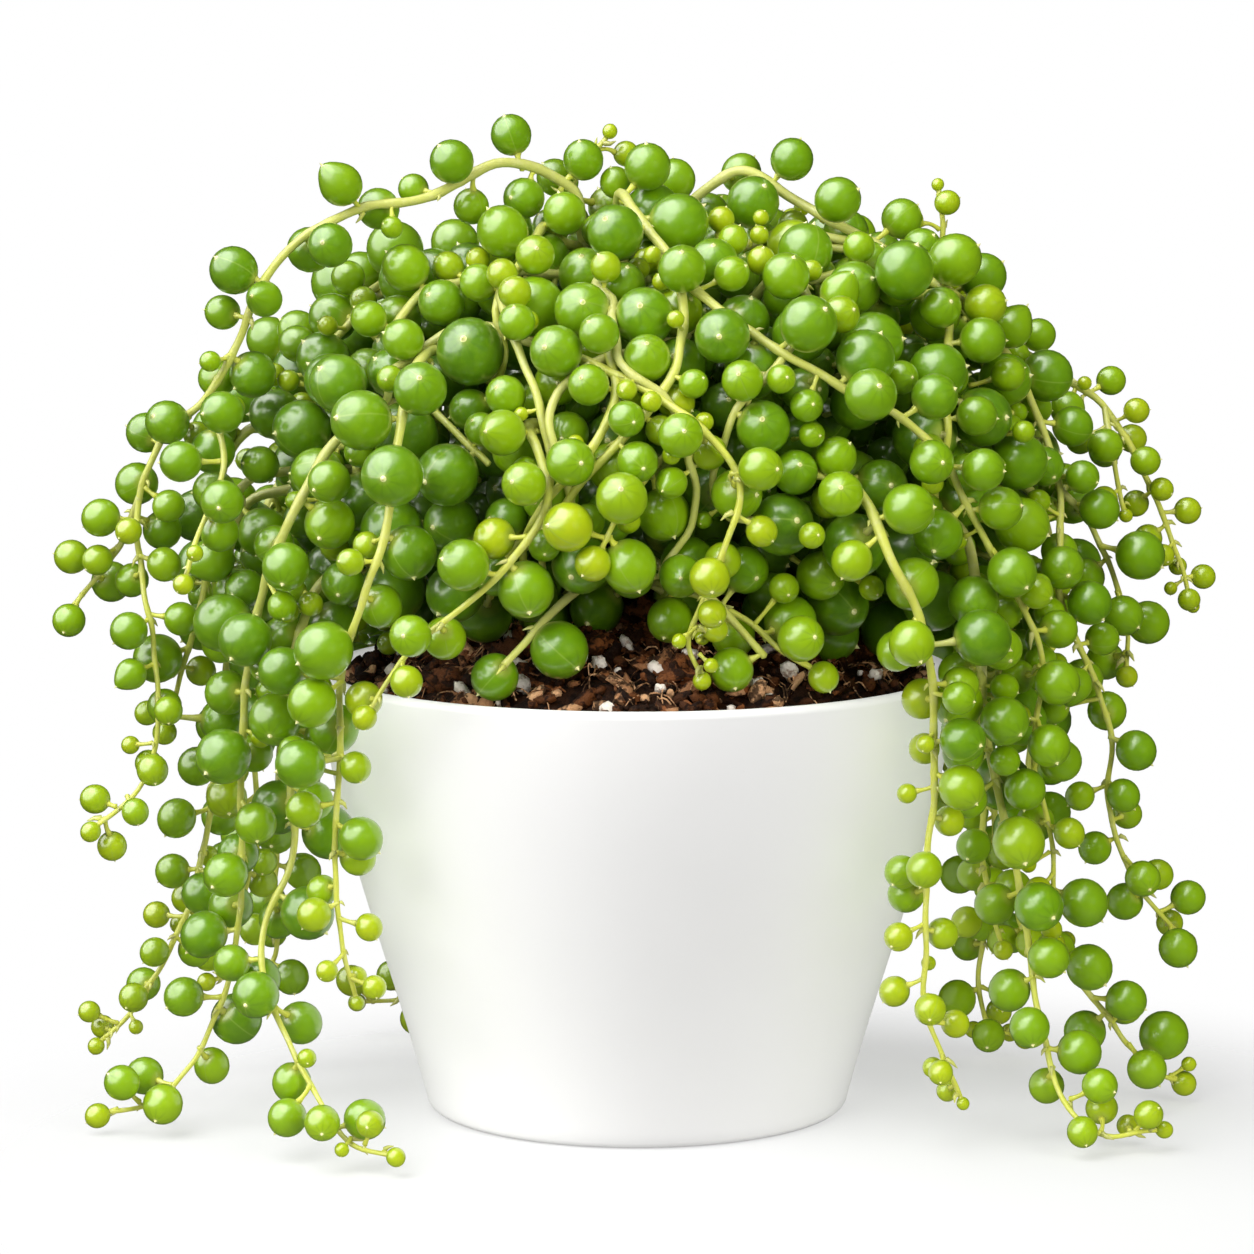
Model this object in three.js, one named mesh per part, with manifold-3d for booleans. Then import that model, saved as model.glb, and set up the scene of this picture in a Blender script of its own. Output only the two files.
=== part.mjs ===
// A string-of-pearls plant in a small glazed pot.
// Round bead-like leaves sit one by one on thin stems. Most of them make a loose mound over the soil,
// and the longest stems arch over the rim and trail down the pot, some as far as the table.
// Millimetres, +Z up, origin in the middle of the pot's underside, the viewer on the -Y side.
import * as THREE from "three";
import { mergeVertices } from "three/addons/utils/BufferGeometryUtils.js";
import Module from "manifold-3d";

const wasm = await Module();
wasm.setup();

// ---- Driving dimensions ----

const POT_HEIGHT = 74;
const RIM_RADIUS = 53;
const BASE_RADIUS = 35;
const POT_BULGE = 15; // how strongly the wall bows out in its upper half
const WALL = 2.6;
const POT_SIDES = 28;
const INNER_LEVELS = [5, 40, 72.7]; // heights at which the pot's inner wall bends, the first its floor
const FIT_GAP = 0.3; // clearance between pieces that rest against each other

const SOIL_EDGE = 70.5; // height of the soil where it meets the pot
const SOIL_HEAP = 16; // how much higher it is in the middle
const GRAIN_COUNT = 12; // pale mineral grains that stand out of the soil

const MOUND_CENTRE = new THREE.Vector3(3.8, 2, 106);
const MOUND_REACH = new THREE.Vector3(71, 56, 48.5); // out to the mound's outer face
const MOUND_DROP = 38; // reach below the centre
const MOUND_POWER = 2.05; // above 2 the dome is fuller than an ellipsoid
const CORE_SHARE = 0.72; // the tangle of short stems inside, as a share of the mound
const CORE_BITE = 3; // how deep a stem or a stalk is sunk into the core
const MOUND_TRIES = 1200;
const MOUND_HEM = 79; // no leaf of the mound is centred lower
const FRONT_RISE = 11; // how much higher the hem is in front, where the soil shows

const STEM_RADIUS = 1.05;
const STEM_SIDES = 3;
const STEM_STEP = 11;
const STALK = 0.5; // from the stem's skin to the leaf
const LEAF_GAP = 0.45; // clear space between leaves
const LEAF_LEAN = 0.35; // how far a leaf leans towards the tip of its stem
const LEAF_SPACING = [3.1, 4]; // from leaf to leaf along a stem, in leaf radii
const LEAF_UNEVEN = [0.82, 1.14]; // smallest and largest share of the size that a leaf's place calls for
const SHOOT_BARE = 5; // bare start of a side shoot
const MOUND_LEAF = [4.2, 5.7]; // radii of the mound's leaves
const CROWN_SMALLER = 0.2; // how much smaller they are at the very top, as a share
const SCATTER = 0.3; // how unevenly the mound's leaves point outwards
const LEAF_TIP = 1.15; // how far the pointed tip stands out, as a share of the leaf's radius
const BEAD_SIZE = 1.05; // a bead's corners lie a little outside the round leaf
const BEAD_RING = 0.42; // height of a unit bead's two rings of corners
const GOLDEN_ANGLE = Math.PI * (3 - Math.sqrt(5));

// ---- Helpers ----

let seed = 20;
function random() {
  seed = (seed * 16807) % 2147483647;
  return seed / 2147483647;
}

function between(low, high) {
  return low + (high - low) * random();
}

function solidOf(geometry) {
  const bare = geometry.clone();
  bare.deleteAttribute("normal");
  bare.deleteAttribute("uv");
  const merged = mergeVertices(bare, 1e-4);
  return new wasm.Manifold(
    new wasm.Mesh({
      numProp: 3,
      vertProperties: merged.attributes.position.array,
      triVerts: new Uint32Array(merged.index.array),
    }),
  );
}

// The largest body alone: loose scraps are dropped and sealed hollows are filled.
function mainBody(solid) {
  const bodies = solid.decompose();
  return bodies.reduce((a, b) => (b.volume() > a.volume() ? b : a));
}

function meshOf(name, solid, material) {
  const made = mainBody(solid).getMesh();
  const geometry = new THREE.BufferGeometry();
  geometry.setAttribute("position", new THREE.BufferAttribute(made.vertProperties, 3));
  geometry.setIndex(new THREE.BufferAttribute(made.triVerts, 1));
  geometry.computeVertexNormals();
  const mesh = new THREE.Mesh(geometry, material);
  mesh.name = name;
  return mesh;
}

function vectors(points) {
  return points.map(([x, y, z]) => new THREE.Vector3(x, y, z));
}

// ---- Materials ----

const glaze = new THREE.MeshStandardMaterial({ color: "#eceae7", roughness: 0.25 });
const compost = new THREE.MeshStandardMaterial({ color: "#3b2b20", roughness: 0.95 });
const moundGreen = new THREE.MeshStandardMaterial({ color: "#5d8638", roughness: 0.42 });
const strandGreen = new THREE.MeshStandardMaterial({ color: "#7fa247", roughness: 0.42 });

// ---- Pot ----

function potRadius(z) {
  const t = z / POT_HEIGHT;
  return BASE_RADIUS + (RIM_RADIUS - BASE_RADIUS) * t + POT_BULGE * t * t * (1 - t);
}

// Inner wall, straight from one of its levels to the next.
function innerRadius(z) {
  const i = z < INNER_LEVELS[1] ? 0 : 1;
  const [low, high] = [INNER_LEVELS[i], INNER_LEVELS[i + 1]];
  return THREE.MathUtils.mapLinear(z, low, high, potRadius(low), potRadius(high)) - WALL;
}

function pot() {
  const lip = WALL / 2;
  const rimMiddle = RIM_RADIUS - lip;
  const profile = [new THREE.Vector2(0, 0), new THREE.Vector2(BASE_RADIUS - 1, 0)];
  for (const z of [1, 14, 28, 43, 58, POT_HEIGHT - lip]) {
    profile.push(new THREE.Vector2(potRadius(z), z));
  }
  for (const turn of [0.25, 0.5, 0.75]) {
    const angle = Math.PI * turn;
    const z = POT_HEIGHT - lip + lip * Math.sin(angle);
    profile.push(new THREE.Vector2(rimMiddle + lip * Math.cos(angle), z));
  }
  for (const z of INNER_LEVELS.toReversed()) profile.push(new THREE.Vector2(potRadius(z) - WALL, z));
  profile.push(new THREE.Vector2(0, INNER_LEVELS[0]));
  const turned = new THREE.LatheGeometry(profile, POT_SIDES).rotateX(Math.PI / 2);
  return solidOf(turned);
}

// ---- Soil ----

function soilTop(x, y) {
  const reach = Math.hypot(x, y) / (RIM_RADIUS - WALL);
  const lumps = 0.7 * Math.sin(0.31 * x + 1) * Math.cos(0.27 * y) + 0.5 * Math.sin(0.5 * (x + y));
  return SOIL_EDGE + SOIL_HEAP * (1 - Math.min(1, reach * reach)) + lumps;
}

// The fill of the pot, its top raised by lift, so that a lifted copy can trim what rests on it.
function soilBody(lift) {
  const underside = INNER_LEVELS[0] + FIT_GAP;
  const profile = [new THREE.Vector2(0, underside)];
  for (const z of [underside, INNER_LEVELS[1], SOIL_EDGE - 2]) {
    profile.push(new THREE.Vector2(innerRadius(z) - FIT_GAP, z));
  }
  const edge = innerRadius(SOIL_EDGE - 2) - FIT_GAP;
  for (const share of [0.97, 0.8, 0.6, 0.35]) {
    profile.push(new THREE.Vector2(edge * share, SOIL_EDGE));
  }
  profile.push(new THREE.Vector2(0, SOIL_EDGE));
  const turned = new THREE.LatheGeometry(profile, POT_SIDES).rotateX(Math.PI / 2);
  const place = turned.attributes.position;
  for (let i = 0; i < place.count; i++) {
    if (place.getZ(i) >= SOIL_EDGE - 0.01) {
      place.setZ(i, soilTop(place.getX(i), place.getY(i)) + lift);
    }
  }
  return solidOf(turned);
}

function soilGrains() {
  const grains = [];
  for (let i = 0; i < GRAIN_COUNT; i++) {
    const angle = i * GOLDEN_ANGLE;
    const reach = between(26, 45);
    const x = reach * Math.cos(angle);
    const y = reach * Math.sin(angle);
    const size = between(1, 2.1);
    const grain = new THREE.IcosahedronGeometry(size, 0).scale(1.2, 1, 0.8).rotateZ(angle);
    grains.push(solidOf(grain.translate(x, y, soilTop(x, y))));
  }
  return grains;
}

// ---- Leaves ----

// Every stem point and every leaf placed so far, so that a new leaf keeps clear of them.
const taken = [];

function clearOfPot(centre, radius) {
  const reach = Math.hypot(centre.x, centre.y);
  const room = radius + 2 * LEAF_GAP;
  if (centre.z - room > POT_HEIGHT) return true;
  if (reach > RIM_RADIUS - WALL) return reach - room > potRadius(Math.max(0, centre.z));
  return reach + room < RIM_RADIUS - WALL && centre.z - room > soilTop(centre.x, centre.y);
}

function isFree(centre, radius, stem) {
  if (centre.z < radius * LEAF_TIP) return false;
  if (!clearOfPot(centre, radius)) return false;
  return taken.every((other) => {
    const own = other.isStem && other.stem === stem;
    const apart = own ? radius + 0.4 * STEM_RADIUS : BEAD_SIZE * (radius + other.radius) + LEAF_GAP;
    return centre.distanceTo(other.centre) > apart;
  });
}

// A bead of sixteen facets: the stalk's point, two rings of four corners turned by an eighth, and the tip.
function beadGeometry() {
  const corners = [0, 0, -1];
  for (const [level, turn] of [[-BEAD_RING, 0], [BEAD_RING, Math.PI / 4]]) {
    const reach = Math.sqrt(1 - level * level);
    for (let i = 0; i < 4; i++) {
      const angle = turn + (Math.PI * i) / 2;
      corners.push(reach * Math.cos(angle), reach * Math.sin(angle), level);
    }
  }
  corners.push(0, 0, 1);
  const faces = [];
  for (let i = 0; i < 4; i++) {
    const [low, lowNext, high, highNext] = [1 + i, 1 + ((i + 1) % 4), 5 + i, 5 + ((i + 1) % 4)];
    faces.push(0, lowNext, low, low, lowNext, high, lowNext, highNext, high, high, highNext, 9);
  }
  return new THREE.PolyhedronGeometry(corners, faces, 1, 0);
}

function leafSolid({ centre, radius, out, root }, extra = 0) {
  const bead = beadGeometry();
  const place = bead.attributes.position;
  const size = radius * BEAD_SIZE + extra;
  const spot = new THREE.Vector3();
  const turn = new THREE.Quaternion().setFromUnitVectors(new THREE.Vector3(0, 0, 1), out);
  for (let i = 0; i < place.count; i++) {
    spot.fromBufferAttribute(place, i);
    if (spot.z < -0.99) {
      spot.copy(root);
    } else {
      if (spot.z > 0.99) spot.z = LEAF_TIP;
      spot.multiplyScalar(size).applyQuaternion(turn).add(centre);
    }
    place.setXYZ(i, spot.x, spot.y, spot.z);
  }
  return solidOf(bead);
}

// ---- Trailing stems ----

class Stem {
  constructor(name, points) {
    this.name = name;
    this.curve = new THREE.CatmullRomCurve3(points, false, "catmullrom", 0.5);
    this.length = this.curve.getLength();
    this.steps = Math.max(2, Math.round(this.length / STEM_STEP));
    this.rings = this.curve.getSpacedPoints(this.steps);
    for (const centre of this.curve.getSpacedPoints(4 * this.steps)) {
      taken.push({ centre, radius: STEM_RADIUS, stem: name, isStem: true });
    }
  }

  // Point and direction at a distance along the stem.
  at(distance) {
    const place = (distance / this.length) * this.steps;
    const i = Math.min(this.steps - 1, Math.floor(place));
    const point = this.rings[i].clone().lerp(this.rings[i + 1], place - i);
    const along = this.rings[i + 1].clone().sub(this.rings[i]).normalize();
    return { point, along };
  }

  tube(radius) {
    const corners = [];
    for (let i = 0; i < STEM_SIDES; i++) {
      const angle = (2 * Math.PI * i) / STEM_SIDES;
      corners.push(new THREE.Vector2(radius * Math.cos(angle), radius * Math.sin(angle)));
    }
    const section = new THREE.Shape(corners);
    const sweep = { steps: this.steps, extrudePath: this.curve, bevelEnabled: false };
    return solidOf(new THREE.ExtrudeGeometry(section, sweep));
  }
}

// The side of a stem that faces up and away from the pot, square to its direction.
function sunnySide(point, along) {
  const outward = new THREE.Vector3(point.x, point.y, 0).normalize().multiplyScalar(0.6);
  const side = outward.add(new THREE.Vector3(0, 0, 0.8));
  return side.addScaledVector(along, -side.dot(along)).normalize();
}

function leafAt(stem, distance, radius, angle) {
  const { point, along } = stem.at(distance);
  const out = sunnySide(point, along).applyAxisAngle(along, angle);
  out.addScaledVector(along, LEAF_LEAN).normalize();
  const centre = point.clone().addScaledVector(out, STEM_RADIUS + STALK + radius);
  return { centre, radius, out, root: point };
}

// Leaves wind round a stem by the golden angle and get smaller towards its tip.
function leavesAlong(stem, [large, small], bareLength) {
  const leaves = [];
  let angle = between(0, 2 * Math.PI);
  let distance = bareLength;
  while (distance < stem.length - 2) {
    const share = distance / stem.length;
    const radius = (large + (small - large) * share * share) * between(...LEAF_UNEVEN);
    for (let attempt = 0; attempt < 5; attempt++) {
      angle += GOLDEN_ANGLE;
      const size = radius * (1 - 0.07 * attempt);
      const leaf = leafAt(stem, distance, size, angle);
      if (isFree(leaf.centre, size, stem.name)) {
        leaves.push(leaf);
        taken.push({ centre: leaf.centre, radius: size, stem: stem.name });
        break;
      }
    }
    distance += radius * between(...LEAF_SPACING) + 1;
  }
  const end = stem.at(stem.length);
  const radius = small * 0.62;
  const centre = end.point.clone().addScaledVector(end.along, radius * 0.7);
  if (centre.z > radius * 1.2) {
    const root = end.point.clone().addScaledVector(end.along, -radius);
    leaves.push({ centre, radius, out: end.along.clone(), root });
    taken.push({ centre, radius, stem: stem.name });
  }
  return leaves;
}

// A trailing stem with its side shoots: name, leaf radius at its start and tip, bare start, and routes.
const trails = [
  {
    name: "left_arch",
    sizes: [3.6, 2.7],
    bare: 12,
    routes: [
      [
        [-9, -4, 146], [-11, -6, 154], [-22, -12, 158], [-33, -18, 153], [-44, -22, 151],
        [-53, -24, 147], [-60, -24, 139], [-64, -22, 130], [-70, -19, 120], [-77, -17, 114],
        [-81, -16, 104], [-81, -16, 92], [-79, -18, 81], [-78, -20, 68], [-80, -20, 59],
        [-84, -22, 54], [-88, -24, 51],
      ],
      [[-81, -16, 104], [-84, -12, 97], [-88, -8, 91], [-94, -4, 84]],
      [[-70, -19, 120], [-66, -28, 111], [-70, -32, 100], [-72, -34, 93]],
    ],
  },
  {
    name: "right_arch",
    sizes: [4.5, 3.4],
    bare: 10,
    routes: [
      [
        [-3, -3, 146], [-3, -10, 153], [-1, -17, 151], [3, -25, 146], [10, -34, 138],
        [22, -41, 130], [32, -43, 124], [40, -43, 120], [48, -41, 113], [53, -37, 103],
        [60, -33, 91], [65, -29, 79], [64, -27, 63], [67, -24, 49], [68, -22, 37], [68, -20, 32],
      ],
      [[68, -20, 33], [72, -16, 25], [78, -12, 17], [82, -8, 11], [87, -5, 6], [91, -2, 4]],
    ],
  },
  {
    name: "shoulder",
    sizes: [4.0, 3.0],
    bare: 10,
    routes: [
      [
        [6, 6, 144], [9, 4, 151], [17, 2, 156], [25, 1, 152], [34, -2, 147], [45, -4, 141],
        [54, -4, 134], [61, -4, 126], [66, -5, 116], [69, -8, 105], [69, -14, 96], [69, -17, 87],
        [74, -14, 76], [78, -10, 65], [78, -8, 53], [82, -4, 40], [88, 0, 32], [92, 4, 27],
      ],
      [[69, -8, 105], [75, -2, 98], [79, 2, 90], [82, 4, 80], [82, 4, 73]],
    ],
  },
  {
    name: "far_right",
    sizes: [3.0, 1.9],
    bare: 14,
    routes: [
      [
        [50, 14, 124], [57, 17, 128], [65, 18, 125], [72, 17, 121], [79, 16, 116], [84, 15, 108],
        [88, 15, 100], [91, 15, 92], [94, 15, 83],
      ],
      [[79, 16, 116], [80, 11, 108], [82, 10, 99]],
    ],
  },
  {
    name: "upright",
    sizes: [2.6, 1.7],
    bare: 6,
    routes: [[[42, 8, 132], [47, 8, 139], [51, 8, 145], [50, 8, 153]]],
  },
  {
    name: "crown",
    sizes: [3.2, 2.0],
    bare: 5,
    routes: [[[-14, 4, 146], [-11, 4, 153], [-8, 3, 158], [-5, 2, 162]]],
  },
  {
    name: "front",
    sizes: [4.2, 2.4],
    bare: 8,
    routes: [
      [
        [-14, -30, 129], [-6, -42, 127], [4, -47, 122], [11, -50, 117], [16, -51, 110],
        [14, -51, 101], [11, -50, 93], [8, -48, 85], [10, -46, 79],
      ],
    ],
  },
  {
    name: "middle",
    sizes: [4.4, 4.6],
    bare: 8,
    routes: [[[3, -40, 112], [1, -47, 110], [-3, -51, 105], [-6, -52, 99]]],
  },
  {
    name: "front_left",
    sizes: [4.4, 3.2],
    bare: 8,
    routes: [
      [
        [-17, -38, 118], [-16, -46, 115], [-14, -50, 108], [-17, -51, 101], [-23, -50, 94],
        [-30, -49, 88], [-37, -49, 82], [-42, -50, 74],
      ],
    ],
  },
  {
    name: "soil_runner",
    sizes: [4.1, 4.0],
    bare: 12,
    routes: [
      [[0, -27, 92], [4, -33, 92], [10, -37, 90], [17, -39, 87], [23, -41, 82], [28, -41, 79]],
    ],
  },
  {
    name: "pot_left",
    sizes: [5.0, 1.9],
    bare: 9,
    routes: [
      [
        [-32, -30, 129], [-36, -39, 124], [-38, -44, 114], [-39, -47, 103], [-42, -48, 94],
        [-45, -46, 85], [-47, -43, 76], [-47, -42, 66], [-48, -41, 54], [-48, -40, 43],
        [-47, -40, 33], [-45, -40, 26],
      ],
    ],
  },
  {
    name: "left_long",
    sizes: [4.7, 3.3],
    bare: 10,
    routes: [
      [
        [-40, -26, 120], [-48, -34, 115], [-54, -36, 105], [-58, -34, 96], [-61, -31, 86],
        [-63, -29, 75], [-64, -27, 62], [-64, -25, 48], [-65, -24, 36], [-67, -22, 25],
        [-72, -21, 13], [-79, -22, 5], [-87, -24, 3.5],
      ],
    ],
  },
  {
    name: "left_inner",
    sizes: [4.3, 3.3],
    bare: 10,
    routes: [
      [[-56, -12, 108], [-64, -14, 106], [-69, -14, 96], [-72, -12, 85], [-75, -9, 75], [-78, -6, 65]],
    ],
  },
  {
    name: "left_floor",
    sizes: [4.9, 2.5],
    bare: 10,
    routes: [
      [
        [-44, -20, 92], [-51, -28, 91], [-55, -30, 80], [-56, -28, 68], [-56, -26, 56],
        [-56, -27, 46], [-60, -30, 36], [-60, -33, 27], [-56, -38, 18], [-51, -43, 10],
        [-46, -48, 4.5], [-39, -53, 3.5],
      ],
    ],
  },
  {
    name: "left_back",
    sizes: [4.3, 2.3],
    bare: 10,
    routes: [
      [
        [-57, -2, 104], [-65, -2, 101], [-68, -2, 90], [-68, -2, 76], [-70, -3, 60],
        [-72, -4, 46], [-75, -4, 34], [-79, -4, 25], [-84, -4, 17], [-90, -4, 11],
      ],
    ],
  },
  {
    name: "right_rim",
    sizes: [4.0, 1.7],
    bare: 9,
    routes: [
      [
        [32, -36, 110], [36, -46, 106], [40, -49, 97], [44, -47, 88], [46, -44, 79],
        [47, -42, 69], [47, -40, 59], [46, -39, 47], [46, -39, 35], [46, -38, 24],
        [49, -38, 16], [52, -38, 9],
      ],
    ],
  },
  {
    name: "right_floor",
    sizes: [4.8, 2.3],
    bare: 9,
    routes: [
      [
        [46, -26, 104], [53, -30, 98], [55, -31, 84], [56, -29, 68], [59, -28, 54],
        [62, -28, 42], [64, -29, 28], [66, -32, 17], [69, -36, 8], [75, -39, 3.5], [84, -36, 3.5],
      ],
    ],
  },
  {
    name: "right_short",
    sizes: [4.1, 2.7],
    bare: 10,
    routes: [
      [
        [52, -8, 96], [60, -12, 92], [60, -14, 80], [58, -15, 67], [57, -15, 54], [57, -15, 42],
        [60, -15, 30],
      ],
    ],
  },
];

// Round the back the stems follow one rule: out of the mound, over the rim and down to their own tip heights.
function backTrails() {
  const tipHeights = [24, 4, 46, 12, 34, 3.5, 52, 20, 6, 44, 16, 30];
  const made = [];
  for (const [i, lowest] of tipHeights.entries()) {
    const bearing = THREE.MathUtils.degToRad(8 + (164 * i) / (tipHeights.length - 1));
    const start = i % 2 ? 112 : 102;
    const route = [];
    const point = (reach, z, swing) => {
      const turn = bearing + swing;
      route.push([reach * Math.cos(turn), reach * Math.sin(turn), z]);
    };
    const coreReach = 44 + 10 * Math.abs(Math.cos(bearing));
    point(coreReach, start, 0);
    point(coreReach + 12, start + 1, 0);
    point(coreReach + 17, start - 12, 0.02);
    let reach = Math.max(63, coreReach + 13);
    for (let z = start - 26; z > lowest + 6; z -= 14) {
      point(reach, z, between(-0.05, 0.05));
      reach += between(-1.5, 1);
    }
    point(reach + 2, lowest + 2, 0);
    point(reach + 10, lowest, 0.1);
    made.push({ name: `back_${i + 1}`, sizes: [4.6, 2.6], bare: 9, routes: [route] });
  }
  return made;
}

// ---- Mound ----

// Distance from the mound's centre to its outer face in a direction.
function moundReach(direction) {
  const drop = direction.z < 0 ? MOUND_DROP : MOUND_REACH.z;
  const sum =
    Math.pow(Math.abs(direction.x) / MOUND_REACH.x, MOUND_POWER) +
    Math.pow(Math.abs(direction.y) / MOUND_REACH.y, MOUND_POWER) +
    Math.pow(Math.abs(direction.z) / drop, MOUND_POWER);
  return Math.pow(sum, -1 / MOUND_POWER);
}

// A route led back into the core, where its stem is rooted.
function rooted(points) {
  const inward = points[0].clone().sub(MOUND_CENTRE);
  const away = inward.length();
  const depth = moundReach(inward.normalize()) * CORE_SHARE - CORE_BITE;
  if (away > depth) points.unshift(inward.multiplyScalar(depth).add(MOUND_CENTRE));
  return points;
}

function core() {
  const dome = new THREE.IcosahedronGeometry(1, 2);
  const place = dome.attributes.position;
  const direction = new THREE.Vector3();
  for (let i = 0; i < place.count; i++) {
    direction.fromBufferAttribute(place, i).normalize();
    const spot = direction.multiplyScalar(moundReach(direction) * CORE_SHARE).add(MOUND_CENTRE);
    place.setXYZ(i, spot.x, spot.y, spot.z);
  }
  return solidOf(dome);
}

// Lowest centre that a leaf of the mound may have at a spot.
function moundHem({ x, y }) {
  const ahead = THREE.MathUtils.clamp((-y - 12) / 22, 0, 1);
  const middle = THREE.MathUtils.clamp((60 - Math.abs(x)) / 14, 0, 1);
  return MOUND_HEM + FRONT_RISE * ahead * middle;
}

// Leaves all over the mound, on a golden-angle spiral with some scatter.
function moundLeaves() {
  const leaves = [];
  for (let i = 0; i < MOUND_TRIES; i++) {
    const height = 1 - (1.62 * (i + 0.5)) / MOUND_TRIES;
    const level = Math.sqrt(1 - height * height);
    const angle = i * GOLDEN_ANGLE + between(-0.06, 0.06);
    const out = new THREE.Vector3(level * Math.cos(angle), level * Math.sin(angle), height);
    const radius = between(...MOUND_LEAF) * (1 - CROWN_SMALLER * Math.max(0, height));
    const reach = moundReach(out);
    const away = between(reach * CORE_SHARE + 0.8 * radius, reach - radius);
    const centre = out.clone().multiplyScalar(away).add(MOUND_CENTRE);
    out.x += between(-SCATTER, SCATTER);
    out.y += between(-SCATTER, SCATTER);
    out.z += between(-SCATTER, SCATTER);
    out.normalize();
    const root = centre.clone().addScaledVector(out, -radius).sub(MOUND_CENTRE);
    root.setLength(reach * CORE_SHARE - CORE_BITE).add(MOUND_CENTRE);
    if (centre.z > moundHem(centre) && isFree(centre, radius, "mound")) {
      leaves.push({ centre, radius, out, root });
      taken.push({ centre, radius, stem: "mound" });
    }
  }
  return leaves;
}

// ---- Assembly ----

const allTrails = [...trails, ...backTrails()].map((trail) => ({ ...trail, leaves: [] }));
for (const trail of allTrails) {
  const [main, ...shoots] = trail.routes.map(vectors);
  trail.stems = [rooted(main), ...shoots].map((points) => new Stem(trail.name, points));
}
for (const { stems, sizes, bare, leaves } of allTrails) {
  for (const stem of stems) leaves.push(...leavesAlong(stem, sizes, stem === stems[0] ? bare : SHOOT_BARE));
}

// A trail's solid, or with extra above 0 a thicker copy of it that cuts its place in a neighbour.
function trailSolid(trail, extra = 0) {
  const tubes = trail.stems.map((stem) => stem.tube(STEM_RADIUS + 1.5 * extra));
  const beads = trail.leaves.map((leaf) => leafSolid(leaf, 1.3 * extra));
  return wasm.Manifold.union([...tubes, ...beads]);
}

const group = new THREE.Group();
group.add(meshOf("pot", pot(), glaze));

const grains = soilGrains();
let soil = wasm.Manifold.union([soilBody(0), ...grains]);
let mound = wasm.Manifold.union([core(), ...moundLeaves().map((leaf) => leafSolid(leaf))]);
mound = mound.subtract(soilBody(FIT_GAP));
for (const grain of grains) mound = mound.subtract(grain);

for (const trail of allTrails) {
  const room = trailSolid(trail, FIT_GAP);
  mound = mound.subtract(room);
  soil = soil.subtract(room);
  group.add(meshOf(`strand_${trail.name}`, trailSolid(trail), strandGreen));
}
group.add(meshOf("soil", soil, compost));
group.add(meshOf("mound", mound, moundGreen));

export default group;
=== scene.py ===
# %% [markdown]
# # A string-of-pearls plant in a white pot
# The solids of this plant are already packed: a turned pot, its soil, a mound of round leaves and thirty
# trailing strands, each with fewer and plainer leaves than the real thing. This file dresses them.
# It first brings the imported model in as a fixed frame.

import math
from dataclasses import dataclass
from functools import lru_cache

import bpy
import numpy as np
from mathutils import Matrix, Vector, noise


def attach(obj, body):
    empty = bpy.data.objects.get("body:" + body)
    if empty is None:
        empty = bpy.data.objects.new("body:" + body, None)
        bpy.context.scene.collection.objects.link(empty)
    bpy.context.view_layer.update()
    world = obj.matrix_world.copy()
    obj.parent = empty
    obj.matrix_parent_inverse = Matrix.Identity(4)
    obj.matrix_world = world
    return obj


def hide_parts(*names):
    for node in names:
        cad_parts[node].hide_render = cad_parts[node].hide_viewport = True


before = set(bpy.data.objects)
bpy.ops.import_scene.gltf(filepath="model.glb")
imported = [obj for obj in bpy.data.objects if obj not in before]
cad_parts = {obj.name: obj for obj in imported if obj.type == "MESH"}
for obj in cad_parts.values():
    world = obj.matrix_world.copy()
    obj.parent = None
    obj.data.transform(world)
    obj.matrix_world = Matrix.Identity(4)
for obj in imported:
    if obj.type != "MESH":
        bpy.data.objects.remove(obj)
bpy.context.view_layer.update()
print("packed nodes:", len(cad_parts))

# %% [markdown]
# ## The camera
# A plant portrait is taken from a little above the rim with a long lens, so that the near leaves don't
# swell. The same view could be had from nearer with a short lens, but then the curtains of leaves at both
# sides would lean outwards, which the real picture doesn't show.

# %% Camera
MM = 0.001
LENS = 139.05
CAMERA_PLACE = (-1.7 * MM, -0.8, 0.1851)
CAMERA_DIP = 0.1299


def add_object(name, data):
    """A new object, put into the scene."""
    made = bpy.data.objects.new(name, data)
    bpy.context.scene.collection.objects.link(made)
    return made


def add_camera():
    data = bpy.data.cameras.new("portrait_camera")
    data.lens, data.sensor_width = LENS, 36
    data.clip_start, data.clip_end = 0.05, 60
    camera = add_object("portrait_camera", data)
    camera.location = CAMERA_PLACE
    camera.rotation_euler = (math.pi / 2 - CAMERA_DIP, 0, 0)
    bpy.context.scene.camera = camera


add_camera()
print("camera in place")

# %% [markdown]
# ## Chance that repeats
# Hundreds of leaves can't be placed by hand, so rules place them and dice make them uneven. The dice here
# are the same small generator that the solids' source uses. Rolled in the same order, it puts every leaf
# of the solids exactly where it was, and the finer leaves can be built on top of the plain ones.

# %% Dice and vectors
FULL_TURN = 2 * math.pi
GOLDEN_ANGLE = math.pi * (3 - math.sqrt(5))
DICE_STEP, DICE_PRIME = 16807, 2147483647


def vec(x, y, z):
    return np.array((x, y, z), float)


def around(reach, bearing, z):
    """A point by its reach from the plant's middle line, its bearing and its height."""
    return vec(reach * math.cos(bearing), reach * math.sin(bearing), z)


def unit(vector):
    return vector / np.linalg.norm(vector)


def lengths(vectors):
    """The length of each vector in an array of them."""
    return np.linalg.norm(vectors, axis=-1)


def turned(vector, axis, angle):
    """The vector turned about a unit axis."""
    c, s = math.cos(angle), math.sin(angle)
    return vector * c + np.cross(axis, vector) * s + axis * np.dot(axis, vector) * (1 - c)


def square_to(vector, axis):
    """The part of a vector that is square to a unit axis, as a unit vector."""
    return unit(vector - axis * np.dot(axis, vector))


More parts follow.
